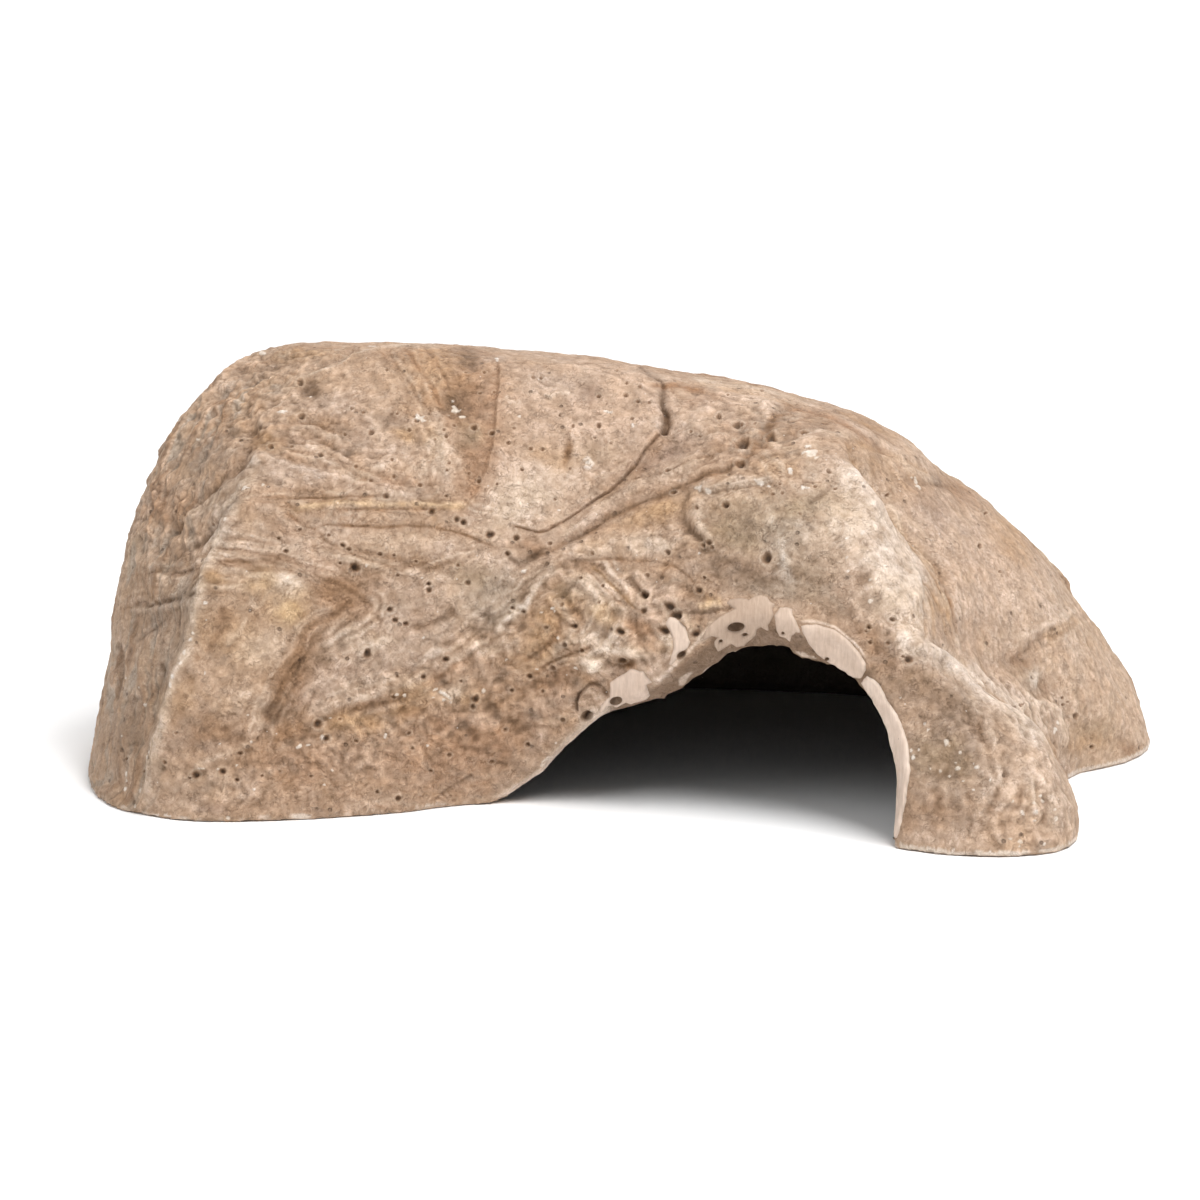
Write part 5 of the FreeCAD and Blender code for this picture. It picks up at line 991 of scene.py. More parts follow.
# Air holes in the casting
PITS = ovals("""
300,381,3.4,3.2 301,415,4,2.6 270.5,446,2.8,2.6 292,445,2,1.8 321,454.6,3.4,3
372,433,3.2,2.8 417,422,3,2.4 409.5,431,2,2 352,408,2,1.6 363.6,412,2,1.6
397,413.5,1.8,1.6 345,433,1.8,1.6 371,481,2.2,1.8 386.5,496,3,2.4 420,485,2.8,2.4
432,511.5,3.6,3.2 355,566.6,5,5.6 428.5,583.5,2.8,2.4 429,590,3,3 389.7,609.5,3.6,3.4
395,620,3.4,3 405.5,623.6,3,2.6 380,554,2.6,2 394,555,2,1.6 286,551,2.8,2.2
367,653,4.6,6.4,12 446,659,4,3,-20 318,724,4.4,4.2 326,738.5,3.6,3 196,775,4,4
223,771.5,4.6,4.2 237,780,2.6,2 240,753,2.8,2 398,798.5,3,3.6 377,792,2,1.8
476,699,3.4,4.4,10 473,706,2.4,2.8 423,677,2.6,2.6 468,583,3,2.6 279,538.5,1.8,1.6
213,524,2,1.8 457,519,3.4,3.6,10 463.5,521.5,3.8,3.4 490.5,534.5,5,3.6,-15 516.5,537.5,4,3.6
507.5,553.5,2.8,2.6 599,426,3,3.2 573,427,2,2.4 522,470.5,2.4,2.2 531,449,2.2,2
542.5,449.5,2,2 508.5,443.5,2.2,2 492,432,3,2.4 474,425,3.4,2.6 497,484.5,1.8,1.6
479,481,2.2,2 533,377,2,1.8 541,376.5,1.8,1.6 599,396,2.4,2 626,396.5,2.8,2.4
638,403,2,1.8 649,404,2,1.8 627,384,2,1.8 640,387.6,2,1.8 514,429,1.8,1.6
668,552,2.8,2.8 726,506,3.6,3.6 766.5,557,4.6,6,20 709,543,3.4,3,20 703,545,2.6,2.2
712,547,2.2,2 737,424,4.6,2.8 719,418,3,3.4 647,575,2.4,2.2 705,578,1.8,1.6
699,590,4,3.4,20 892,620,3.6,2.2,20 908,659.5,4.6,3.8 903,657,2,1.8 888,643,2.2,2
742,443,8,5.2,-8 740.5,465,4.6,5,-30 771,437,5.6,4.8,-30 673,491,3.2,1.8,-10 668,470.5,3,1.6,-15
644,595,3.6,4.4,-30 670,606,6.4,4.6,10 677,616,6.8,4.8,10 644,611,3.8,3.4 665,631,7,4.8,30
695,634,6,4,-10 621,632,5.4,4,20 575,626,3.6,3 588.5,716,6.8,5.6 986,513,2,1.6
886,513.5,2,3.6,-10 887,495,2,1.6 980,546,2.8,3 804.5,432,4,2.2 869,626.5,2.8,2.6
870,642,2.2,2.2 866,630,1.8,1.6 762,392,2,1.6 742,424,1.6,1.4 1020,706,2.4,2
1014,708,2,1.6 1075,716,3,3.4 1092,747,2.6,2.4 1061,698,1.8,1.6 1066,702,1.6,1.4
1062,705,1.6,1.4 999,572,1.8,1.6 829,472,3.4,1.8,40 780,484,1.8,1.6 773,494,2.4,1.8
782,493,1.8,1.6 800,514,2.2,1.4,30 835,490,2,1.6 815,486,2,1.6 697,508,2.4,2.6
582,579,2,1.8 604,587,2.4,2 593,554,2,1.8 550,543,2.6,2 524,611,2.2,2
512.6,608,2.4,2.2 600,603,2,1.6 622,660,4,3 563,605,2,2.4 548,627,2.4,2
566,644,3,2.6 583,650,2.4,2.4 553,668,2.6,2.4 530,676,3,2.6 512,690,2.6,2.4
543,691,2.2,2 563,719,2.6,2.4 528,745,2.6,2.2 505,730,2.2,2 492,762,2.4,2
449,755,2.6,2.2 431,771,2,1.8 412,748,2,1.8 356,741,2.2,2 340,719,2,1.8
311,776,1.8,1.6 280,771,1.6,1.4 262,776,1.8,1.6 169,762,2,2.4 152,758,2,2.4
145,771,2.4,2 190,778,1.6,1.4 180,733,1.8,1.6 124,758,1.6,1.6 458,565,2,1.8
416,561,2,1.6 398,575,2,1.6 397,676,1.8,1.8 461,681,1.8,1.8 394,697,2.4,2
409,733,2,1.8 396,561,1.4,1.4 340,563,2,1.6 300,529.5,2,1.6 343,545,3.6,2.6,20
349,549,3,2.2,20 329,535,2,1.8 356,467,2,1.8 392,461,2,1.6 394,476,2,1.8
446,496,2,1.6 444,430,1.8,1.6 435,440,1.6,1.6 447,470,1.8,1.6 387,372,1.6,1.4
480,391,1.8,1.6 484,371,1.8,1.6 466,372,1.6,1.4 494,390,1.6,1.4 454,424,1.8,1.6
446,436,2,2 449,463,1.6,1.6 469,473,1.6,1.6 555,500,1.6,1.6 570,469,1.6,1.4
595,439,1.6,1.4 611,444,1.6,1.4 560,416,1.4,1.4 632,420,1.6,1.4 617,371,1.4,1.4
691,432,1.8,1.6 700,436,1.6,1.4 711,403,2,1.6 728,395,1.6,1.4 755,424,1.6,1.4
""")

# Places where the bare pale resin shows
CHIPS = ovals("""
548,757,5.5,3.2,-40 556,743,2.6,2.2 543,765,4.5,1.8,-38 441,693,6,2,30 436,689,2.6,1.6
433,697,2.2,1.6 450,702,2.2,1.6 523,572,1.8,1.8
281,412,8,1.7 310,394.5,1.6,1.4 419,418,6,3.6,20 424,421,3,2 455,408,6,5,40
462,415,3,3 452,398,2,1.6 588,463,2.4,1.6 699,490,5,2 708,492,4,1.6
759,484,5,2.6,10 768,486,3,1.8 790.5,470,2.4,3 810,453,6,4 806,447,3,2 815,458,2.4,1.6
807,487,5,1.4,20 915,481,2.6,7,-25 919,488,2.4,4,-20 846.5,540,2,1.8 861,534,2.6,1.8
848,557,1.8,1.6 848,571,1.8,1.4 870.5,601,2.8,2.6 884,567,2,1.6 870,579,1.8,1.4
900,698,2,1.8 924.5,724,2.4,2.4 928,730,2,2 946,742.5,3,5.6,-10 919,749,1.8,1.6
913,757,3.4,5.6,10 911,750,1.8,2.4 960,753,2,1.8 958,768,3.6,3 956,763,1.8,2 978,767,3.4,2.2
974,763,1.4,1.4 940.5,771,2.2,1.8 930,769,1.8,1.6 950,776,1.6,1.4 990,780,1.8,2.6
963,781,2,1.6 974,790,1.6,1.4 1033.5,803,2.6,3 1035,812.5,2.8,3.6 1033,820,2.4,2
1055,819,2.6,4 1053,810,2.2,2.6 1043,801,3.2,2,20 1040,796,2,1.6 1022,812.5,2.2,3 1013,801,1.8,2
1020,841,3.2,2.4 1010.5,839,3,1.8 1019,846,2.6,1.8 1044,844,2.8,2.4 1048,850,3,1.8 990,851.5,3.4,3
1054,731,2,4,-10 1055,724,1.8,2.4 196,641,2.6,3.2,20 198,634,1.6,2.4,10 189.5,653,2,4,15
186.5,664,1.6,3,10 180,677,2.2,3.4,30 177.5,686,1.8,3.4,20 206,674,1.2,2.4,10 209,605,2.2,1.8
154.5,745,1.8,4,5 152,751,1.8,3 149.5,757,2.4,2.8 142.5,704,2.4,2.8,30 139,688,1.6,1.4
126,678,1.4,2.4 124,773,1.6,3.6 126,780,1.4,2.4 125,790,1.4,3 142,790,1.6,3 134,806,1.6,2.6
121,736,1.4,2.2 204,768,4.4,1.6,-10 218,769,2,2 237,765,2,1.6 251,742,2.2,1.8 254,789,2,1.2
220,744,1.6,1.4 248,715,1.6,1.4 331,718,2,1.4 322,737,2.6,3.4,20 298,747,4.4,2.2,-10
308,745,3.4,1.6,-10 324,785,2.4,1.4,20 332,770,1.4,1.4 447,696,5,2.4,35 444,700,2,1.4
397,695,2.6,2 404,695,1.6,2 423,638,1.4,1.4 385,737,1.8,2.4 427,745,1.8,1.4 422,578,1.4,1.4
253,537,1.8,1.4 249,491,3.4,2.4 263,486,1.6,3 231,524,1.4,3.4,10 197,439,2,1.8
366,566,1.4,3 553,608,3,2 556,611,2,1.4 524.5,572,2,2 543,612,2,1.6 617,569,1.4,1.2
558,511,1.6,1.4 519,417,2,2 497,359,2,1.8 606,412,3.6,1.6 633,427,2,2.4 699,553,1.4,1.2
484,690,1.8,1.4 506,660,1.8,1.4 538,668,2,1.6 575,668,2.4,1.6 560,637,1.8,1.4 250,610,1.2,1.4
156,814.5,6,1.8,5 168,816,6,1.8,5 228,818,3,2.4 270,347,2,1.4 262,354,4,1.4 326,369,2,1
""")

# Pale patches round the entrance: outline, air holes, and tone of red, green and blue
PATCHES = {name: (table(outline), ovals(holes), tone) for name, outline, holes, tone in [
    ("lip_patch_left", """610,683 616,678 625,673 631,669 635,669 640,671 643.5,671 647,677 652,682
     647,685 648,690 650,695 647,699 642,701 631,704 626,702 617,707.6 611,705.6 607,706 604,711
     598,713 602,705 607,699 610,697 610,690""", "616,701,6.5,4.3,-12", (1.0, 0.97, 0.95)),
    ("lip_patch_tongue", """670,617 675,618 680,622 686,627 688,637 690,642 687,648 682,652 677,658
     672,665 669,664 672,656.5 674,649 674,641 672,636 669,630 665.5,623""",
     "681,655,5.2,3.2,-40", (0.97, 0.95, 0.93)),
    ("lip_patch_crown", """727,603 731,599 741,598 749,600 755,596 761,595 767,597 770,601 775,604
     772,609 773.5,614 772,620 768,625 769,631 761,627.5 757,629 756,635 749,641 744,646 737,646.6
     731,644 724,648 718,651 714.5,646 714.5,641 718,637 712,636 704,641 702,638 709,626 720,617
     731,611 735,609 731,607""", "736,627,8.6,4.8,-8 721,641,2,1.6 745,634.5,2.8,1.6,-10",
     (0.74, 0.68, 0.62)),
    ("lip_patch_block", """774.5,615 778,610.6 780,607 787,607.6 792.6,609 792.6,615 796,621
     799,627.5 800,632.5 796,632 792,636 790,641 786,638 780,636 777,629 775.5,624""",
     "783,633,1.8,1.6", (0.90, 0.86, 0.82)),
    ("lip_patch_right", """801,626 807,624.4 815,624.4 822.5,626 833,629 842,635 853,645 861,655
     866,664 866,670 861,678 853,678 844,673 838,668 830,663 825.5,660 818,655 812,648 807,641
     803.5,634""", "827,659,2.2,1.8", (0.95, 0.92, 0.89)),
    # painted light: the jamb patch is toned brighter than the pale resin of the other patches
    ("jamb_patch", """867,676 873,679 879,684 888,701 897.5,715 904,730 908,745 909,758 910,771
     908,785 906,800 902,818 899,832 897,838 893,838 891,832 891,812 892.5,790 892,771 890,748
     885,730 879,715 870,697 861,683""", "", (1.12, 1.12, 1.12))]}

LEFT_EDGE = "92,770 100,706 110,640 120,566 140,488 160,441 180,410 200,381 220,360 240,347"

# How each paint looks when lit, in sRGB
# "inside" is painted shade for the hollow; "light" is laid partly as painted highlight and painted light
LOOKS = {
    "tan": (200, 170, 145), "tanlight": (214, 186, 160), "brown": (151, 116, 85),
    "umber": (108, 83, 61), "dark": (48, 37, 29), "ochre": (190, 151, 109),
    "ochredark": (150, 108, 66), "ochrelight": (216, 182, 140), "rust": (169, 129, 96),
    "olive": (164, 142, 114), "cream": (236, 216, 196), "light": (242, 225, 210),
    "grey": (164, 146, 128), "greylight": (196, 180, 164), "greybrown": (138, 113, 91),
    "lilac": (208, 184, 166), "violet": (166, 140, 124), "pink": (213, 184, 162),
    "pinklight": (226, 201, 181), "chip": (252, 241, 230), "patch": (238, 217, 200),
    "lip": (148, 122, 100), "inside": (46, 42, 38), "patchdim": (222, 199, 181)}
LIGHT = 1.25                                      # how bright a mid surface is lit


def base_colour(look):
    """Linear base colour that gives the look under the lights."""
    share = np.asarray(look, float) / 255
    return np.where(share <= 0.04045, share / 12.92, ((share + 0.055) / 1.055) ** 2.4) / LIGHT


PAINT = {name: base_colour(look) for name, look in LOOKS.items()}

# ------------------------------------------------------------------ the casting
points, tris = remeshed("cast_shell", voxel=1.15)
edges, _ = edges_of(tris)
count = len(points)

# Which part of the casting each point is on, from its depth under the outer form.
form = BVHTree.FromPolygons(*design_surface())
nearest, form_normals, depth = np.empty((count, 3)), np.empty((count, 3)), np.empty(count)
for i, point in enumerate(points):
    nearest[i], form_normals[i], _, _ = form.find_nearest(Vector(point))
    depth[i] = -((point - nearest[i]) @ form_normals[i])  # positive inside the form
points = diffuse(points, edges, 2)
norms = normals(points, tris)
agree = (norms * form_normals).sum(1)
outer = smoothstep(3.2, 2.0, depth) * smoothstep(0.45, 0.75, agree) * (points[:, 2] > 0.6)
outer = np.where((points[:, 2] <= 1.2) & (agree > 0.3) & (depth < 2.5), 1.0, outer)
inner = smoothstep(4.5, 6.0, depth) * smoothstep(0.2, -0.5, agree)
rim = smoothstep(-0.75, -0.92, norms[:, 2]) * (points[:, 2] < 0.8)

# Smooth the facets away: strongly on the outer form and the hollow, less at the lip.
body = diffuse(np.clip(np.maximum(outer, inner), 0, 1), edges, 2)
snap = nearest - points
snap_share = diffuse(outer * smoothstep(4.0, 2.5, np.abs(depth)), edges, 3)
points = points + snap * snap_share[:, None]
for _ in range(14):
    smoothed = diffuse(points, edges, 1)
    lifted = np.where(points[:, 2] < 1.0, 0.0, 1.0)
    points = points + (smoothed - points) * (0.25 + 0.75 * body)[:, None] * lifted[:, None]
base_z = np.maximum(points[:, 2] * 0.6, 0.0)
points[:, 2] = np.where(points[:, 2] < 0.9, base_z, points[:, 2])
norms = normals(points, tris)
outer, inner, rim = diffuse(outer, edges, 2), diffuse(inner, edges, 3), diffuse(rim, edges, 1)
to_eye = (EYE - points) / np.linalg.norm(EYE - points, axis=1)[:, None]
facing = (norms * to_eye).sum(1)                  # 1 where a point faces the camera
arrays = [points, norms, outer, inner, rim, facing]
arrays, tris = refine(arrays, tris, (inner < 0.5)[tris].all(1))
points, norms, outer, inner, rim, facing = arrays
norms = norms / np.linalg.norm(norms, axis=1)[:, None]
view = project(points)

# Finer mesh where small features are.
shown = in_view(points, view) & (facing > 0)
fine = np.zeros(len(points), bool)
for spots, margin, reach, limit in ((PITS, 1.5, 1.3, 1.2), (CHIPS, 1, 1.2, 1.1)):
    for x, y, rx, ry, angle in spots:
        at, ratio = oval(view, x, y, rx + margin, ry + margin, angle, reach)
        fine[at[ratio < limit]] = True
for kind, course, width, *_ in LINES:
    if kind != "stain" and width < 3.0:
        fine |= line_distance(view, course, 6)[0] < width + 2.0
for outline, _, _ in PATCHES.values():
    fine |= inside_distance(view, outline, 4) > -3
fine |= (line_distance(view, table(LEFT_EDGE), 60)[0] < 60) & (facing > 0.12)
fine &= shown
arrays, tris = refine([points, norms, outer, inner, rim, facing], tris,
                      fine[tris].any(1) & shown[tris].all(1))
points, norms, outer, inner, rim, facing = arrays
norms = norms / np.linalg.norm(norms, axis=1)[:, None]
view = project(points)

edges, _ = edges_of(tris)
level = points[:, 2]
across, down = view.T
seen = (in_view(points, view) & (facing > 0)).astype(float)
hidden = np.clip(1 - seen, 0, 1)
even = np.mean([in_view(points, view, shift) for shift in (0.0, 0.8, 1.6, 2.4, 3.2)], 0)
shown = diffuse(even * (facing > 0) * smoothstep(0.02, 0.12, facing), edges, 7)
lip = np.clip(1 - outer - inner - rim, 0, 1) * (level > 0.3)

# ------------------------------------------------------------------ relief and paint
# Noises are named by their size in mm.
warp = np.stack([noise(points, 13, 40), noise(points, 13, 41)], 1) * 5.0
warp = warp + np.stack([noise(points, 4.5, 42), noise(points, 4.5, 43)], 1) * 2.2
view_warped = view + warp
view_frayed = view + np.stack([noise(points, 3.6, 44), noise(points, 3.6, 45)], 1) * 0.9
wave30, wave11, wave5 = fbm(points, 30, 2, 1), fbm(points, 11, 3, 2), fbm(points, 5, 2, 3)
wave2, wave7, mottle = noise(points, 1.9, 4), noise(points, 7, 46), fbm(points, 3.6, 2, 72)
ridged = 1 - 2.2 * np.abs(noise(points, 6.5, 47))
crumbs = 1 - 2.2 * np.abs(noise(points, 2.8, 48))
rough = np.full(len(points), 0.42)
for x, y, rx, ry, angle, target in ROUGH:
    at, ratio = oval(view_warped, x, y, rx, ry, angle, 2.2)
    mask = np.exp(-(ratio ** 2)) * shown[at]
    rough[at] = rough[at] * (1 - mask) + target * mask
rough *= 0.55 + 0.45 * smoothstep(0.04, 0.35, np.abs(facing))

# Beds that lean and bend, seen best where no other feature is.
bed = points @ np.array([0.22, 0.16, 0.96]) + 3.2 * wave30 + 1.2 * wave11
beds = two_noise(np.c_[points[:, 0] / 9.0, points[:, 1] / 9.0, bed / 1.6],
                 np.c_[points[:, 0] / 5.0, points[:, 1] / 5.0, bed / 0.75], 60, 61, 0.6)
# On the left face they run up beside the corner.
dist, along, _ = line_distance(view, table(LEFT_EDGE + " 262,340"), 130)
left = seen * smoothstep(95, 40, dist) * (dist < 1e8) * smoothstep(330, 250, across)
wavy = dist + 5 * wave11 + 2.5 * wave5
left_beds = two_noise(np.c_[wavy / 6.2, along * 7.0, 0 * along],
                      np.c_[wavy / 3.2, along * 13.0, 0 * along], 62, 63, 0.75)

relief = 0.42 * wave30 + (0.22 + 0.20 * rough) * wave11
relief += (0.36 * wave5 + 0.10 * wave2 + 0.34 * ridged - 0.24 * crumbs
           + 0.10 * noise(points, 1.3, 49)) * rough + 0.05 * wave2
relief += 0.12 * beds * (0.35 + 0.65 * hidden) + 0.58 * left_beds * left
relief = relief * outer

tint = np.repeat(PAINT["tan"][None], len(points), 0)
every = slice(None)


def lay(at, mask, paint, strength):
    """Blends a paint over the tint at some points."""
    share = np.clip(mask * strength, 0, 1)[:, None]
    tint[at] = tint[at] * (1 - share) + PAINT[paint] * share


clouds = fbm(points, 24, 3, 70)
blotches = fbm(points + 2.0 * np.stack([wave11, wave5, wave11], 1), 9, 3, 71)
lay(every, smoothstep(0.10, 0.9, clouds), "brown", 0.30)
lay(every, smoothstep(-0.15, -0.9, clouds), "pink", 0.50)
lay(every, smoothstep(0.20, 0.8, blotches), "ochre", 0.30 + 0.15 * hidden)
lay(every, smoothstep(-0.15, -0.7, blotches), "lilac", 0.40 + 0.15 * hidden)
# Swirled paint: field it follows, period, where
SWIRLS = [
    (down + 0.22 * across, 8.5, smoothstep(590, 470, across) * smoothstep(190, 250, across)
     * smoothstep(430, 490, down)),
    (0.8 * across - 0.5 * down, 7.0, smoothstep(520, 470, across) * smoothstep(470, 420, down)
     * smoothstep(240, 320, across)),
    (across - 0.35 * down, 9.0, 0.55 * smoothstep(900, 950, across)),
    (down - 0.45 * across, 9.5, smoothstep(480, 560, across) * smoothstep(880, 800, across))]
for field, period, region in SWIRLS:
    flow = (field + 30 * wave30 + 15 * wave11 + 4 * wave5) / period
    swirl = two_noise(np.c_[flow, across / 70, down / 70],
                      np.c_[flow * 2.3, across / 40, down / 40], 82, 83, 0.5)
    region = region * shown
    lay(every, smoothstep(0.15, 0.75, swirl) * region, "brown", 0.42)
    lay(every, smoothstep(-0.15, -0.75, swirl) * region, "cream", 0.34)
    relief += 0.10 * swirl * region * outer
    thin = smoothstep(0.16, 0.03, np.abs(swirl - 0.1)) * smoothstep(-0.4, 0.3, blotches)
    lay(every, thin * region, "brown", 0.50)
    relief -= 0.10 * thin * region * outer
for k, (settings, course) in enumerate(courses(BANDS)):
    reach, period, strength, height = map(float, settings)
    at, dist, along, side = near_line(view + 0.5 * warp, course, 2.2 * reach)
    flow = (dist * side + 3.0 * wave11[at] + 2.2 * wave5[at]) / period
    band = two_noise(np.c_[flow, 5 * along, 0 * flow],
                     np.c_[2.1 * flow, 9 * along, 0 * flow], 100 + k, 130 + k, 0.55)
    mask = np.exp(-(dist / reach) ** 2) * smoothstep(0, 0.12, along)
    mask = mask * smoothstep(1, 0.88, along) * shown[at]
    lay(at, smoothstep(0.08, 0.50, band) * mask, "brown", strength)
    lay(at, smoothstep(-0.10, -0.55, band) * mask, "cream", 0.8 * strength)
    lay(at, smoothstep(0.09, 0.02, np.abs(band - 0.25)) * mask, "umber", 0.5 * strength)
    relief[at] -= height * band * mask * outer[at]
lay(every, smoothstep(0.25, 1.0, noise(points, 15, 73)), "greylight", 0.30)
# painted light: the right end is painted paler, as the light falls stronger there
lay(every, shown * smoothstep(890, 980, across), "light", 0.16)
lay(every, shown * smoothstep(1050, 1090, across), "tanlight", 0.45)
lay(every, smoothstep(0.30, 1.0, beds) * (0.3 + 0.7 * hidden), "brown", 0.30)
lay(every, smoothstep(0.25, 0.95, -beds) * (0.3 + 0.7 * hidden), "cream", 0.22)
lay(every, left, "tanlight", 0.30)
lay(every, smoothstep(0.15, 0.6, left_beds) * left, "brown", 0.66)
lay(every, smoothstep(0.10, 0.6, -left_beds) * left, "greylight", 0.75)

for row in BLOBS.split():
    *place, paint, strength, height = row.split(",")
    at, ratio = oval(view_warped, *map(float, place), 2.2)
    mask = np.exp(-(ratio ** 2) * 1.15) * shown[at]
    relief[at] += 1.35 * float(height) * mask
    lay(at, np.clip(mask * 1.2 * (1 + 0.5 * mottle[at]), 0, 1), paint,
        min(float(strength) * 1.38, 0.95))

for kind, course, width, height, paint, strength, paint_width, fall in LINES:
    reach = max(3 * width, 3 * paint_width, 3 * fall) + 3
    bend = 0.35 if width >= 4 else 0.10
    at, dist, along, side = near_line(view_frayed + warp * bend, course, reach)
    ends = smoothstep(0, 0.10, along) * smoothstep(1, 0.90, along) * 0.85 + 0.15
    on = shown[at]
    wide = 1 + 0.40 * wave5[at]
    broken = np.clip(0.78 + 0.55 * wave7[at], 0.25, 1.2)
    broken = broken * (0.72 if width < 4 and abs(height) < 1.0 else 1.0)
    if kind in ("groove", "ridge"):
        relief[at] += height * np.exp(-(dist / (width * wide)) ** 2) * ends * broken * on
    elif kind == "crest":
        rounded = np.sqrt(dist * dist + width * width)
        relief[at] += height * np.exp(-rounded / fall) * ends * on * (0.9 + 0.25 * wave11[at])
    elif kind == "step":
        relief[at] += height * side * smoothstep(0, width, dist) * np.exp(-dist / fall) * ends * on
    if paint != "-":
        edge = np.exp(-(dist / (paint_width * wide)) ** 2)
        edge = edge * (0.80 + 0.55 * mottle[at]).clip(0.2, 1.3)
        lay(at, np.clip(edge * ends * on, 0, 1), paint, strength)

# ------------------------------------------------------------------ the back and the far ends
# They are laid out as a wall: place along it and place up it, in mm.
turn = np.degrees(np.arctan2((points[:, 1] - 8) / 80, points[:, 0] / 122))
turn = np.where(turn < -90, turn + 360, turn)
inward = np.clip(1 - np.hypot(points[:, 0] / 124, (points[:, 1] - 2) / 82), 0, 1)
wall = np.stack([turn * 1.75, level + 80 * inward], 1)
wall += (np.stack([noise(points, 26, 50), noise(points, 26, 51)], 1) * 6
         + np.stack([wave5, wave7], 1) * 1.3)
unseen = np.clip(diffuse(hidden * outer, edges, 22), 0, 1)
unseen = smoothstep(0.45, 0.95, unseen) * outer
back = np.where(unseen > 0.02)[0]
wall, unseen, back_points = wall[back], unseen[back], points[back]
back5, back7 = wave5[back], wave7[back]
turned = smoothstep(0.02, -0.40, facing[back])    # keeps the outline seen from the front
carved = unseen * turned
back_ridges = 1 - 2.2 * np.abs(noise(back_points, 21, 53))
relief[back] += ((1.5 * fbm(back_points, 42, 2, 52) + 0.9 * back_ridges) * carved
                 + 0.25 * ridged[back] * unseen)
rng = np.random.RandomState(BACK_SEED)
flat_top = smoothstep(0.34, 0.50, inward[back])
for k in range(88):
    kind = ("ledge", "crack", "ridge", "hollow", "ledge", "line")[k % 6]
    on_top = k >= 64
    if on_top:
        x, y = rng.uniform(-110, 60), rng.uniform(-30, 70)
        plane = back_points[:, :2] + np.stack([back7, back5], 1) * 1.5
        region = flat_top
    else:
        x, y = rng.uniform(-150, 440), rng.uniform(-5, 100)
        plane, region = wall, 1 - flat_top
    upright = rng.rand() < 0.25
    length = rng.uniform(45, 150) * (0.5 if on_top else 1)
    slope = rng.normal(0.12, 0.2)
    t = np.linspace(0, 1, 9)
    wander = np.cumsum(rng.normal(0, 2.2, 9))
    if upright:
        course = np.c_[x + 0.35 * length * t + wander, y + 0.8 * length * t]
    else:
        course = np.c_[x + length * t, y + slope * length * t + wander]
    # every kind draws its numbers each time, whichever kind is used
    width, height, paint_width, fall, paint, strength = {
        "ledge": (1.3, rng.uniform(0.8, 1.6), 3.4, rng.uniform(8, 15), "brown", 0.5),
        "crack": (0.8, rng.uniform(-1.5, -0.9), 1.1, 0, "umber", 0.75),
        "ridge": (rng.uniform(2.5, 5), rng.uniform(0.8, 1.6), 3.0, 0, "cream", 0.4),
        "hollow": (rng.uniform(8, 14), rng.uniform(-3.2, -1.6), 9, 0, "greybrown", 0.35),
        "line": (0.7, -0.4, 1.0, 0, "rust", 0.6)}[kind]
    reach = max(3 * width, 3 * paint_width, 3 * fall) + 2
    at, dist, along, side = near_line(plane, course, reach)
    on = unseen[at] * region[at] * smoothstep(0, 0.15, along) * smoothstep(1, 0.85, along)
    wide = 1 + 0.4 * back5[at]
    cut = on * turned[at]
    if kind == "ledge":
        change = height * side * smoothstep(0, width, dist) * np.exp(-dist / fall) * cut
    else:
        change = height * np.exp(-(dist / (width * wide)) ** 2) * cut
        change = change * np.clip(0.8 + 0.5 * back7[at], 0.3, 1.2)
    relief[back[at]] += change
    lay(back[at], np.exp(-(dist / (paint_width * wide)) ** 2) * on
        * (0.8 + 0.5 * mottle[back[at]]).clip(0.2, 1.3), paint, strength)
flow = wall[:, 1] - 0.12 * wall[:, 0] + 16 * wave30[back] + 7 * wave11[back]
swirl = two_noise(np.c_[flow / 3.2, wall[:, 0] / 34, wall[:, 1] / 34],
                  np.c_[flow / 1.4, wall[:, 0] / 20, wall[:, 1] / 20], 86, 87, 0.5)
patchy = smoothstep(-0.5, 0.5, noise(back_points, 34, 88))
lay(back, smoothstep(0.15, 0.7, swirl) * patchy * unseen, "brown", 0.50)
lay(back, smoothstep(-0.15, -0.7, swirl) * patchy * unseen, "cream", 0.42)
thin = smoothstep(0.14, 0.03, np.abs(swirl - 0.1)) * smoothstep(-0.4, 0.3, blotches[back])
lay(back, thin * unseen, "brown", 0.45)
relief[back] += (0.12 * swirl * patchy - 0.08 * thin) * unseen
BACK_PAINTS = ("brown", "ochre", "cream", "lilac", "greybrown", "rust", "olive", "pinklight")
for k in range(56):
    x, y, radius = rng.uniform(-140, 440), rng.uniform(0, 130), rng.uniform(5, 19)
    at, ratio = oval(wall, x, y, radius, radius * rng.uniform(0.3, 0.7), rng.normal(-8, 18), 2.2)
    mask = np.exp(-1.15 * ratio ** 2) * unseen[at] * (1 + 0.5 * mottle[back[at]])
    lay(back[at], mask, BACK_PAINTS[k % 8], rng.uniform(0.4, 0.7))
    relief[back[at]] += rng.uniform(-0.9, 0.7) * mask * carved[at]

# ------------------------------------------------------------------ fine mottle, painted shade and highlight of the relief, chips and pits
shade = 1 + ((0.18 * wave5 + 0.21 * mottle + 0.16 * wave2)
             * np.clip(0.28 + 0.66 * rough, 0.36, 1.15))
tint *= shade[:, None]
# painted shade and highlight: hollows of the relief are painted darker and browner, raised bits paler
raised = relief - diffuse(relief, edges, 6)
shade = 1 + np.clip(raised * 2.2, -0.42, 0.28) * outer
tint *= shade[:, None] ** np.array([0.85, 1.0, 1.2])

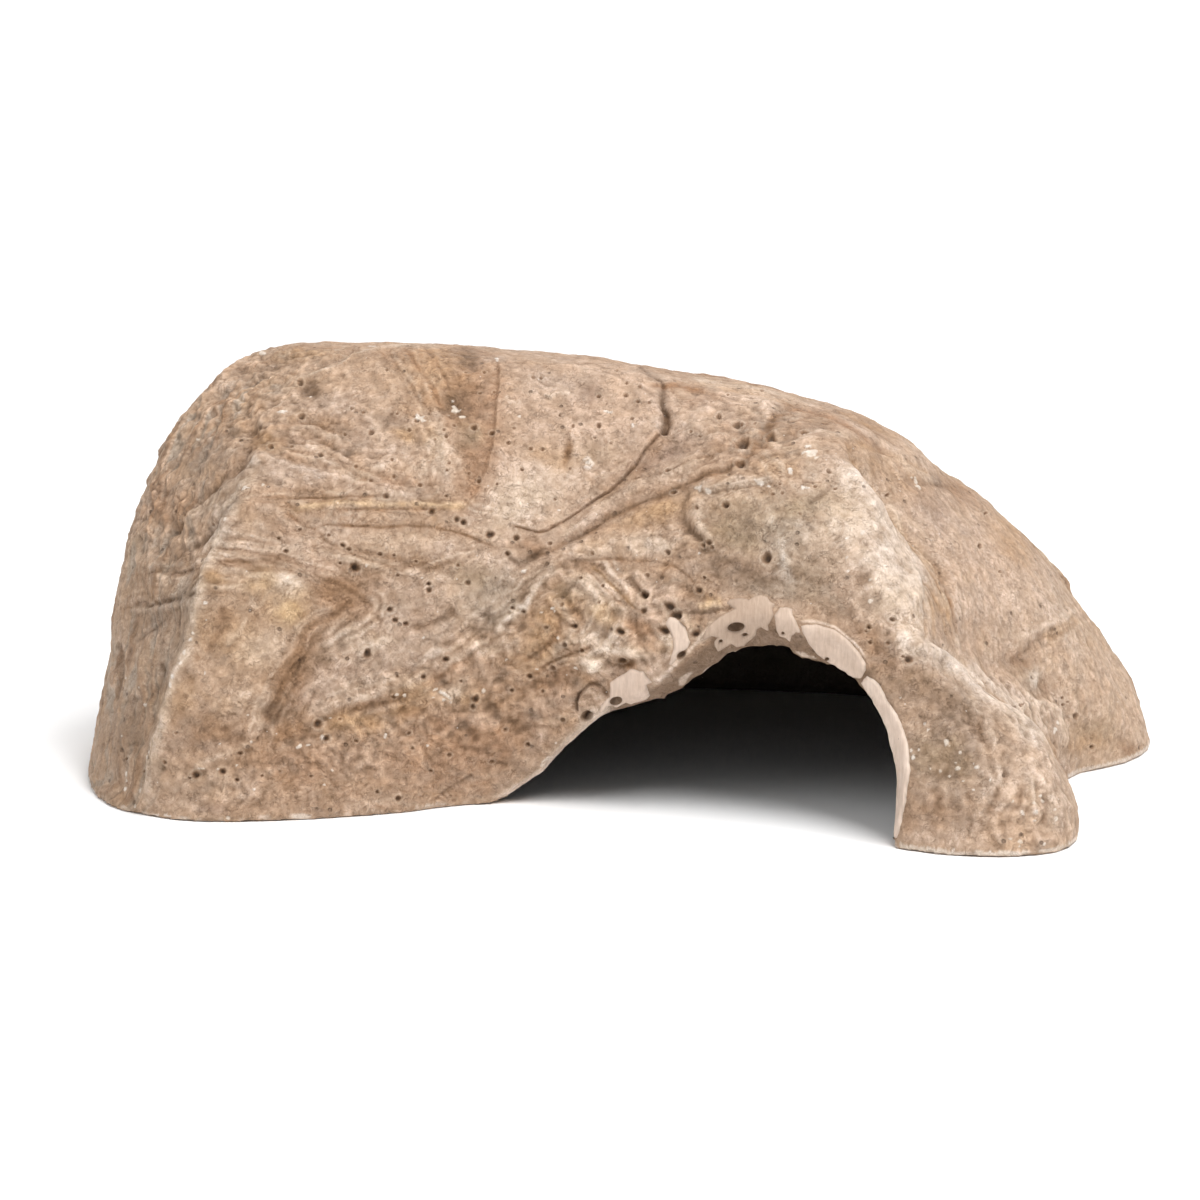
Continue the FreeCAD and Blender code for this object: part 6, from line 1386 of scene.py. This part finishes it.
grit = noise(points, 1.1, 84)
for x, y, rx, ry, angle in CHIPS:
    scale = 0.62 if x > 900 or x < 260 else 0.78
    at, ratio = oval(view_frayed, x, y, scale * rx, scale * ry, angle, 1.8)
    mask = smoothstep(1.10, 0.75, ratio * (1 + 0.85 * grit[at])) * shown[at]
    relief[at] += 0.14 * mask
    lay(at, mask, "chip", 0.84)
# brown paint in the air holes, with a darker middle in the bigger ones painted as the shade inside them
for x, y, rx, ry, angle in PITS:
    at, ratio = oval(view, x, y, rx, ry, angle, 2.0)
    ratio = ratio * (1 + 0.22 * wave2[at] + 0.12 * grit[at])
    on = shown[at]
    size = 0.5 * (rx + ry) * 0.24                 # radius on the rock, mm
    big = min(max((size - 0.45) / 0.6, 0), 1)
    relief[at] -= (0.18 + 0.75 * size) * smoothstep(1.05, 0.35, ratio) * on
    relief[at] += 0.07 * np.exp(-((ratio - 1.35) / 0.28) ** 2) * on
    lay(at, np.exp(-((ratio - 1.4) / 0.3) ** 2) * on, "cream", 0.22)
    lay(at, smoothstep(1.05, 0.70, ratio) * on, "brown", 0.65)
    lay(at, smoothstep(0.90, 0.30, ratio) * on, "umber", 0.20 + 0.45 * big)
    lay(at, smoothstep(0.80, 0.25, ratio) * on, "dark", 0.50 * big)


def cell_pits(size, seed, chance, low, high):
    """Scattered round pits: how near the nearest one is (1 at its edge), and its radius."""
    base = np.floor(points / size).astype(np.int64)
    best, radii = np.full(len(points), 9.0), np.zeros(len(points))
    for step in np.ndindex(3, 3, 3):
        cells = base + np.array(step) - 1
        draws = [cell_hash(cells + np.array([seed, 0, 0]))]
        for _ in range(4):
            draws.append(SHUFFLE[draws[-1]])
        radius = low + (high - low) * (draws[3] / 511.0) ** 2.2
        centre = (cells + 0.15 + 0.7 * np.stack(draws[:3], 1) / 511.0) * size
        ratio = np.linalg.norm(points - centre, axis=1) / (2.6 * radius)
        ratio = np.where(draws[4] < chance * 512, ratio, 9.0)
        nearer = ratio < best
        best[nearer] = ratio[nearer]
        radii[nearer] = radius[nearer]
    return best * 2.6, radii


# Scattered pits and chips where the face turns away from the front.
away = outer * smoothstep(0.35, 0.10, np.where(seen > 0, facing, 0)) * (left < 0.3)
ratio, radius = cell_pits(9.0, seed=11, chance=0.5, low=0.7, high=1.7)
deep = smoothstep(1.0, 0.45, ratio * (1 + 0.2 * wave2)) * away
ratio, _ = cell_pits(13.0, seed=29, chance=0.30, low=0.5, high=1.5)
lay(every, smoothstep(1.0, 0.75, ratio * (1 + 0.8 * grit)) * away, "chip", 0.85)
relief -= (0.35 + 0.7 * radius) * deep
lay(every, deep, "umber", 0.75)

# ------------------------------------------------------------------ lip, patch beds and hollow
patch_depth = {}                                  # distance inside each patch's outline
flat = np.zeros(len(points))
for name, (outline, holes, _) in PATCHES.items():
    dist = inside_distance(view, outline)
    dist = dist + 0.7 * np.where(dist > -14, noise(points, 1.7, 80), 0)
    dist = np.minimum(dist, 30 * (facing - 0.03))
    dist = np.where((seen > 0) & (inner < 0.6), dist, -14)
    for x, y, rx, ry, angle in holes:
        at, ratio = oval(view, x, y, rx, ry, angle, 2.5)
        dist[at] = np.minimum(dist[at], (ratio - 1) * 0.5 * (rx + ry))
    patch_depth[name] = dist
    flat = np.maximum(flat, smoothstep(-2.5, 1.0, dist))

lay(every, lip, "lip", 0.85)
streaks = noise(np.c_[points[:, 0] / 2.2, points[:, 1] / 6.0, points[:, 2] / 2.2], 1.0, 81)
lay(every, lip * smoothstep(0.0, 0.8, streaks), "umber", 0.40)
lay(every, lip * smoothstep(0.2, 0.9, -streaks), "greybrown", 0.40)
lay(every, lip * smoothstep(625, 598, across), "patch", 0.80)
# pale line that runs down and left from the entrance
course = table("606,710 592,721 580,734 568,749 555,762 540,775 522,787 503,797 486,802")
dist, along, _ = line_distance(view_frayed, course, 12)
lay(every, np.exp(-(dist / (3.4 - 1.2 * along)) ** 2) * np.clip(0.85 + 0.5 * mottle, 0.3, 1.2)
    * seen * smoothstep(1, 0.8, along), "light", 0.90)
# painted light: the lower-left lip is brightened beyond its paint, standing in for light from the floor
tint *= (1 + 0.40 * lip * smoothstep(612, 596, across) * seen)[:, None]
# round hole at the lip's left end
at, ratio = oval(view_frayed, 588, 715, 6.6, 5.0, -10, 1.8)
relief[at] -= 0.9 * smoothstep(1.1, 0.5, ratio) * seen[at]
lay(at, smoothstep(1.15, 0.9, ratio) * seen[at], "greybrown", 0.9)
lay(at, smoothstep(0.95, 0.4, ratio) * seen[at], "umber", 0.75)
# pale dabs between the patches
for place in ovals("684,679,8,3.4,-50 708,670,5,2.6,-30 668,700,9,2,-20 742,652,12,1.6,-8 "
                   "806,655,12,1.8,18 843,676,10,2,40 560,757,6,2.4,-50"):
    at, ratio = oval(view_frayed, *place, 1.8)
    ratio = ratio * (1 + 0.4 * wave2[at])
    lay(at, smoothstep(1.15, 0.75, ratio) * seen[at], "patch", 0.85)
for _, holes, _ in PATCHES.values():
    for x, y, rx, ry, angle in holes:
        at, ratio = oval(view, x, y, rx * 1.08, ry * 1.08, angle, 1.8)
        relief[at] -= (0.3 + 0.12 * (rx + ry)) * smoothstep(1.1, 0.5, ratio) * seen[at]
        lay(at, smoothstep(1.3, 0.9, ratio) * seen[at], "greybrown", 0.85)
        lay(at, smoothstep(1.0, 0.3, ratio) * seen[at], "umber", 0.6)

lip_move = (0.22 * wave5 + 0.10 * streaks) * lip
move = relief + lip_move + 0.45 * fbm(points, 16, 3, 8) * inner
move = move * (1 - flat) + flat * (1 - 0.85) * move       # calmer under the patches
# painted shade: the hollow is painted near black (the "inside" paint), standing in for the shade inside
# the rock
lay(every, smoothstep(0.3, 0.8, inner), "inside", 0.97)
# paler where the floor lights the hollow
glow = 1 + 2.4 * smoothstep(26, 0, level) * smoothstep(0.3, 0.8, inner)
worn = smoothstep(-0.35, 0.25, wave5 + np.where((across > 900) & (seen > 0), 0.55, -0.35))
lay(every, (level < 1.1) * outer * worn, "chip", 0.75)
lay(every, rim, "tanlight", 0.8)
# painted shade: the low edges beside the hollow are painted near black as well
beside = diffuse((inner > 0.5).astype(float), edges, 4)
lay(every, smoothstep(0.02, 0.15, beside) * (level < 2.0) * (outer < 0.5), "inside", 0.97)
tint *= glow[:, None]

low = smoothstep(0.3, 2.5, level)                 # leaves the foot in place
surface = points + norms * (move * low)[:, None]
surface[:, 2] = np.maximum(surface[:, 2], 0.0)
skin = surface.copy()                             # before the beds under the patches are sunk
for dist in patch_depth.values():
    surface = surface - norms * (1.1 * smoothstep(0.8, 4.0, dist))[:, None]

rock = mesh_object("cast_shell_rock", surface, tris, tint)
hand_over(rock, "cast_shell", np.clip(tint, 0.004, 0.95))


# ------------------------------------------------------------------ pale patches
def kept(points, tris, dist):
    """Drops the points that no triangle uses."""
    used, index = np.unique(tris, return_inverse=True)
    return points[used], index.reshape(-1, 3), dist[used]


def clipped(points, tris, dist):
    """The part of a triangle mesh where dist is above zero, cut at its zero line."""
    inside = dist > 0
    corners_in = inside[tris].sum(1)
    result = [tuple(tri) for tri in tris[corners_in == 3]]
    extra, made = [], {}

    def cut(a, b):
        key = (min(a, b), max(a, b))
        if key not in made:
            t = dist[a] / (dist[a] - dist[b])
            made[key] = len(points) + len(extra)
            extra.append(points[a] + (points[b] - points[a]) * min(max(t, 0.04), 0.96))
        return made[key]

    for tri in tris[(corners_in > 0) & (corners_in < 3)]:
        within = inside[tri]
        one_in = within.sum() == 1
        i = int(np.argmax(within) if one_in else np.argmin(within))
        a, b, c = tri[i], tri[(i + 1) % 3], tri[(i + 2) % 3]
        cut_b, cut_c = cut(a, b), cut(a, c)
        result += [(a, cut_b, cut_c)] if one_in else [(cut_b, b, c), (cut_b, c, cut_c)]
    return kept(np.vstack([points, np.array(extra).reshape(-1, 3)]), np.array(result, np.int64),
                np.r_[dist, np.zeros(len(extra))])


def biggest(points, tris, dist):
    """Only the largest connected part."""
    label = np.arange(len(points))
    while True:
        lowest = label[tris].min(1)
        new = label.copy()
        for k in range(3):
            np.minimum.at(new, tris[:, k], lowest)
        if (new == label).all():
            break
        label = new
    ids, counts = np.unique(label[tris[:, 0]], return_counts=True)
    return kept(points, tris[label[tris[:, 0]] == ids[np.argmax(counts)]], dist)


def pad(name, dist, tone):
    """A thin closed pad on the skin, over the places where dist is above zero."""
    points, pad_tris, dist = biggest(*clipped(skin, tris, dist))
    edges, tri_edges = edges_of(pad_tris)
    points = diffuse(points, edges, 7, fixed=dist <= 0)
    norms = normals(points, pad_tris)
    lift = 0.10 + 0.32 * smoothstep(0.0, 2.4, dist) + 0.035 * noise(points, 1.2, 90)
    top, under = points + norms * lift[:, None], points - norms * 0.9
    uses = np.bincount(tri_edges.ravel(), minlength=len(edges))
    a, b = directed_edges(pad_tris)[uses[tri_edges.T.ravel()] == 1].T
    count = len(points)
    walls = np.vstack([np.c_[a, a + count, b + count], np.c_[a, b + count, b]])
    shade = 1 + 0.07 * noise(top, 4.0, 91) - 0.14 * smoothstep(1.6, 0.0, dist)
    tint = np.r_[shade, shade][:, None] * np.array(tone)
    ob = mesh_object(name + "_skin", np.vstack([top, under]),
                     np.vstack([pad_tris, pad_tris[:, ::-1] + count, walls]), tint)
    hand_over(ob, name, tint)
    return ob


pads = [pad(name, dist, PATCHES[name][2]) for name, dist in patch_depth.items()]


# ------------------------------------------------------------------ materials
class Nodes:
    """Short calls that add linked nodes to a node tree."""

    def __init__(self, owner):
        owner.use_nodes = True
        self.tree = owner.node_tree

    def feed(self, socket, value):
        """Links a socket to an output, or gives it a plain value."""
        if isinstance(value, bpy.types.NodeSocket):
            self.tree.links.new(value, socket)
        else:
            socket.default_value = value

    def add(self, kind, inputs=(), **settings):
        node = self.tree.nodes.new(kind)
        for key, value in settings.items():
            setattr(node, key, value)
        for key, value in dict(inputs).items():
            self.feed(node.inputs[key], value)
        return node

    def place(self):
        return self.add("ShaderNodeTexCoord").outputs["Object"]

    def tint(self):
        return self.add("ShaderNodeAttribute", attribute_name="tint").outputs["Color"]

    def noise(self, place, scale, detail=4, rough=0.6, distort=0.0):
        return self.add("ShaderNodeTexNoise", {
            "Scale": scale, "Detail": detail, "Roughness": rough, "Distortion": distort,
            "Vector": place}).outputs["Fac"]

    def mapped(self, value, from_min, from_max, to_min=0, to_max=1):
        return self.add("ShaderNodeMapRange", {
            "From Min": from_min, "From Max": from_max, "To Min": to_min, "To Max": to_max,
            "Value": value}).outputs["Result"]

    def maths(self, operation, a, b):
        return self.add("ShaderNodeMath", {0: a, 1: b}, operation=operation).outputs[0]

    def mixed(self, blend, share, a, b):
        return self.add("ShaderNodeMix", {0: share, 6: a, 7: b},
                        data_type="RGBA", blend_type=blend).outputs[2]

    def toned(self, colour, field, low, high, dark, light):
        """Multiplies a colour by one from dark to light, as the field runs from low to high."""
        tone = self.mixed("MIX", self.mapped(field, low, high), dark + (1,), light + (1,))
        return self.mixed("MULTIPLY", 1.0, colour, tone)

    def touched(self, blend, colour, mask, strength, other):
        share = self.maths("MULTIPLY", mask, strength)
        return self.mixed(blend, share, colour, other + (1,))

    def veins(self, field, width, where, low, high):
        """Thin lines at the middle of a noise, where another noise is high."""
        off = self.maths("ABSOLUTE", self.maths("SUBTRACT", field, 0.5), 0)
        line = self.mapped(off, 0.0, width, 1, 0)
        return self.maths("MULTIPLY", line, self.mapped(where, low, high))

    def dots(self, place, scale, radius, share):
        """1 inside small scattered dots."""
        cells = self.add("ShaderNodeTexVoronoi", {"Scale": scale, "Vector": place}, feature="F1")
        parts = self.add("ShaderNodeSeparateColor", {0: cells.outputs["Color"]})
        inside = self.mapped(cells.outputs["Distance"], radius, radius * 0.55)
        some = self.maths("LESS_THAN", parts.outputs[0], share)
        return self.maths("MULTIPLY", inside, some)

    def bump(self, height, strength, distance):
        return self.add("ShaderNodeBump", {"Strength": strength, "Distance": distance,
                                           "Height": height}).outputs["Normal"]

    def surface(self, inputs):
        for key, value in inputs.items():
            self.feed(self.tree.nodes["Principled BSDF"].inputs[key], value)


def painted_resin():
    """The tint with grain, veins, dark pinholes and pale specks."""
    material = bpy.data.materials.new("painted_resin")
    nodes = Nodes(material)
    place = nodes.place()
    colour = nodes.tint()
    mottle = nodes.noise(place, 420, detail=5, rough=0.65, distort=0.4)
    grain = nodes.noise(place, 1500, rough=0.7)
    broad = nodes.noise(place, 130, distort=0.6)
    colour = nodes.toned(colour, mottle, 0.34, 0.66, (0.90, 0.88, 0.85), (1.07, 1.08, 1.09))
    colour = nodes.toned(colour, grain, 0.32, 0.68, (0.83, 0.80, 0.76), (1.13, 1.15, 1.17))
    colour = nodes.toned(colour, broad, 0.38, 0.62, (0.92, 0.88, 0.83), (1.06, 1.07, 1.09))
    vein = nodes.noise(place, 170, detail=5, rough=0.62, distort=1.6)
    vein = nodes.veins(vein, 0.035, broad, 0.42, 0.60)
    hair = nodes.noise(place, 620, distort=1.2)
    hair = nodes.veins(hair, 0.04, mottle, 0.40, 0.60)
    colour = nodes.touched("MULTIPLY", colour, vein, 0.55, (0.66, 0.56, 0.46))
    colour = nodes.touched("MULTIPLY", colour, hair, 0.60, (0.62, 0.53, 0.45))
    pin = nodes.dots(place, 260, radius=0.15, share=0.34)
    speck = nodes.dots(place, 430, radius=0.10, share=0.10)
    colour = nodes.touched("MIX", colour, pin, 0.62, (0.12, 0.07, 0.04))
    colour = nodes.touched("MIX", colour, speck, 0.55, (0.72, 0.66, 0.60))
    height = nodes.maths("ADD", nodes.maths("MULTIPLY", mottle, 0.55),
                         nodes.maths("MULTIPLY", grain, 0.30))
    height = nodes.maths("SUBTRACT", height, nodes.maths("MULTIPLY", pin, 0.8))
    height = nodes.maths("SUBTRACT", height, nodes.maths("MULTIPLY", hair, 0.22))
    nodes.surface({"Base Color": colour, "Specular IOR Level": 0.35,
                   "Roughness": nodes.mapped(mottle, 0.3, 0.7, 0.50, 0.80),
                   "Normal": nodes.bump(height, strength=0.85, distance=0.0008)})
    return material


def pale_resin():
    """Cloudy pale resin with upright streaks and a few dark flecks."""
    material = bpy.data.materials.new("pale_resin")
    nodes = Nodes(material)
    place = nodes.place()
    stretched = nodes.add("ShaderNodeMapping", {"Scale": (3.2, 1.0, 0.32), "Vector": place})
    streaks = nodes.noise(stretched.outputs["Vector"], 520, distort=0.5)
    cloud = nodes.noise(place, 210)
    colour = nodes.mixed("MIX", nodes.mapped(cloud, 0.35, 0.65, 0, 0.8),
                         tuple(PAINT["patch"]) + (1,), tuple(PAINT["patchdim"]) + (1,))
    colour = nodes.mixed("MULTIPLY", 1.0, colour, nodes.tint())
    colour = nodes.toned(colour, streaks, 0.36, 0.64, (0.90, 0.88, 0.86), (1.05, 1.05, 1.05))
    fleck = nodes.dots(place, 520, radius=0.14, share=0.12)
    colour = nodes.touched("MIX", colour, fleck, 0.5, (0.25, 0.17, 0.12))
    nodes.surface({"Base Color": colour,
                   "Roughness": nodes.mapped(cloud, 0.3, 0.7, 0.55, 0.75),
                   "Normal": nodes.bump(streaks, strength=0.35, distance=0.0003)})
    return material


rock.data.materials.append(painted_resin())
pale = pale_resin()
for ob in pads:
    ob.data.materials.append(pale)

# ------------------------------------------------------------------ stage, in metres
FLOOR_RADIUS, FLOOR_SIDES = 0.98, 96
scene = bpy.context.scene


def aim(ob, direction):
    ob.rotation_euler = Vector(direction).to_track_quat("-Z", "Y").to_euler()


def area(name, place, target, size, power):
    light = bpy.data.lights.new(name, "AREA")
    light.shape = "SQUARE"
    light.size = size
    light.energy = power
    ob = bpy.data.objects.new(name, light)
    scene.collection.objects.link(ob)
    ob.location = place
    aim(ob, Vector(target) - Vector(place))


floor_mesh = bpy.data.meshes.new("floor")
turns = [k * math.pi / (FLOOR_SIDES // 2) for k in range(FLOOR_SIDES)]
floor_mesh.from_pydata([(FLOOR_RADIUS * math.cos(turn), FLOOR_RADIUS * math.sin(turn), 0)
                        for turn in turns], [], [tuple(range(FLOOR_SIDES))])
floor = bpy.data.objects.new("floor", floor_mesh)
scene.collection.objects.link(floor)
floor.location = (0, 0, -0.0002)
floor_material = bpy.data.materials.new("floor")
Nodes(floor_material).surface({"Base Color": (0.965, 0.965, 0.965, 1), "Roughness": 0.9,
                               "Specular IOR Level": 0.1})
floor_mesh.materials.append(floor_material)

# The world looks brighter to the camera than it lights the scene.
world = bpy.data.worlds.new("world")
scene.world = world
nodes = Nodes(world)
background = nodes.tree.nodes["Background"]
background.inputs["Color"].default_value = (1, 1, 1, 1)
to_camera = nodes.add("ShaderNodeLightPath").outputs["Is Camera Ray"]
nodes.feed(background.inputs["Strength"], nodes.mapped(to_camera, 0, 1, 0.42, 1.15))
area("key", (0.55, -0.62, 1.40), target=(0, 0, 0.04), size=0.75, power=25)
area("fill", (-0.95, -0.65, 1.0), target=(0, 0, 0.05), size=1.0, power=5.5)
area("back", (0.2, 1.1, 1.3), target=(0, 0, 0.05), size=1.0, power=9)

lens = bpy.data.cameras.new("camera")
lens.sensor_width = SENSOR_WIDTH
lens.lens = PLANE_DISTANCE / PLANE_WIDTH * SENSOR_WIDTH
lens.clip_start = 0.05
lens.clip_end = 50
camera = bpy.data.objects.new("camera", lens)
scene.collection.objects.link(camera)
camera.location = EYE * 1e-3
aim(camera, VIEW_AXIS)
scene.camera = camera
scene.view_settings.view_transform = "Standard"
scene.view_settings.look = "None"
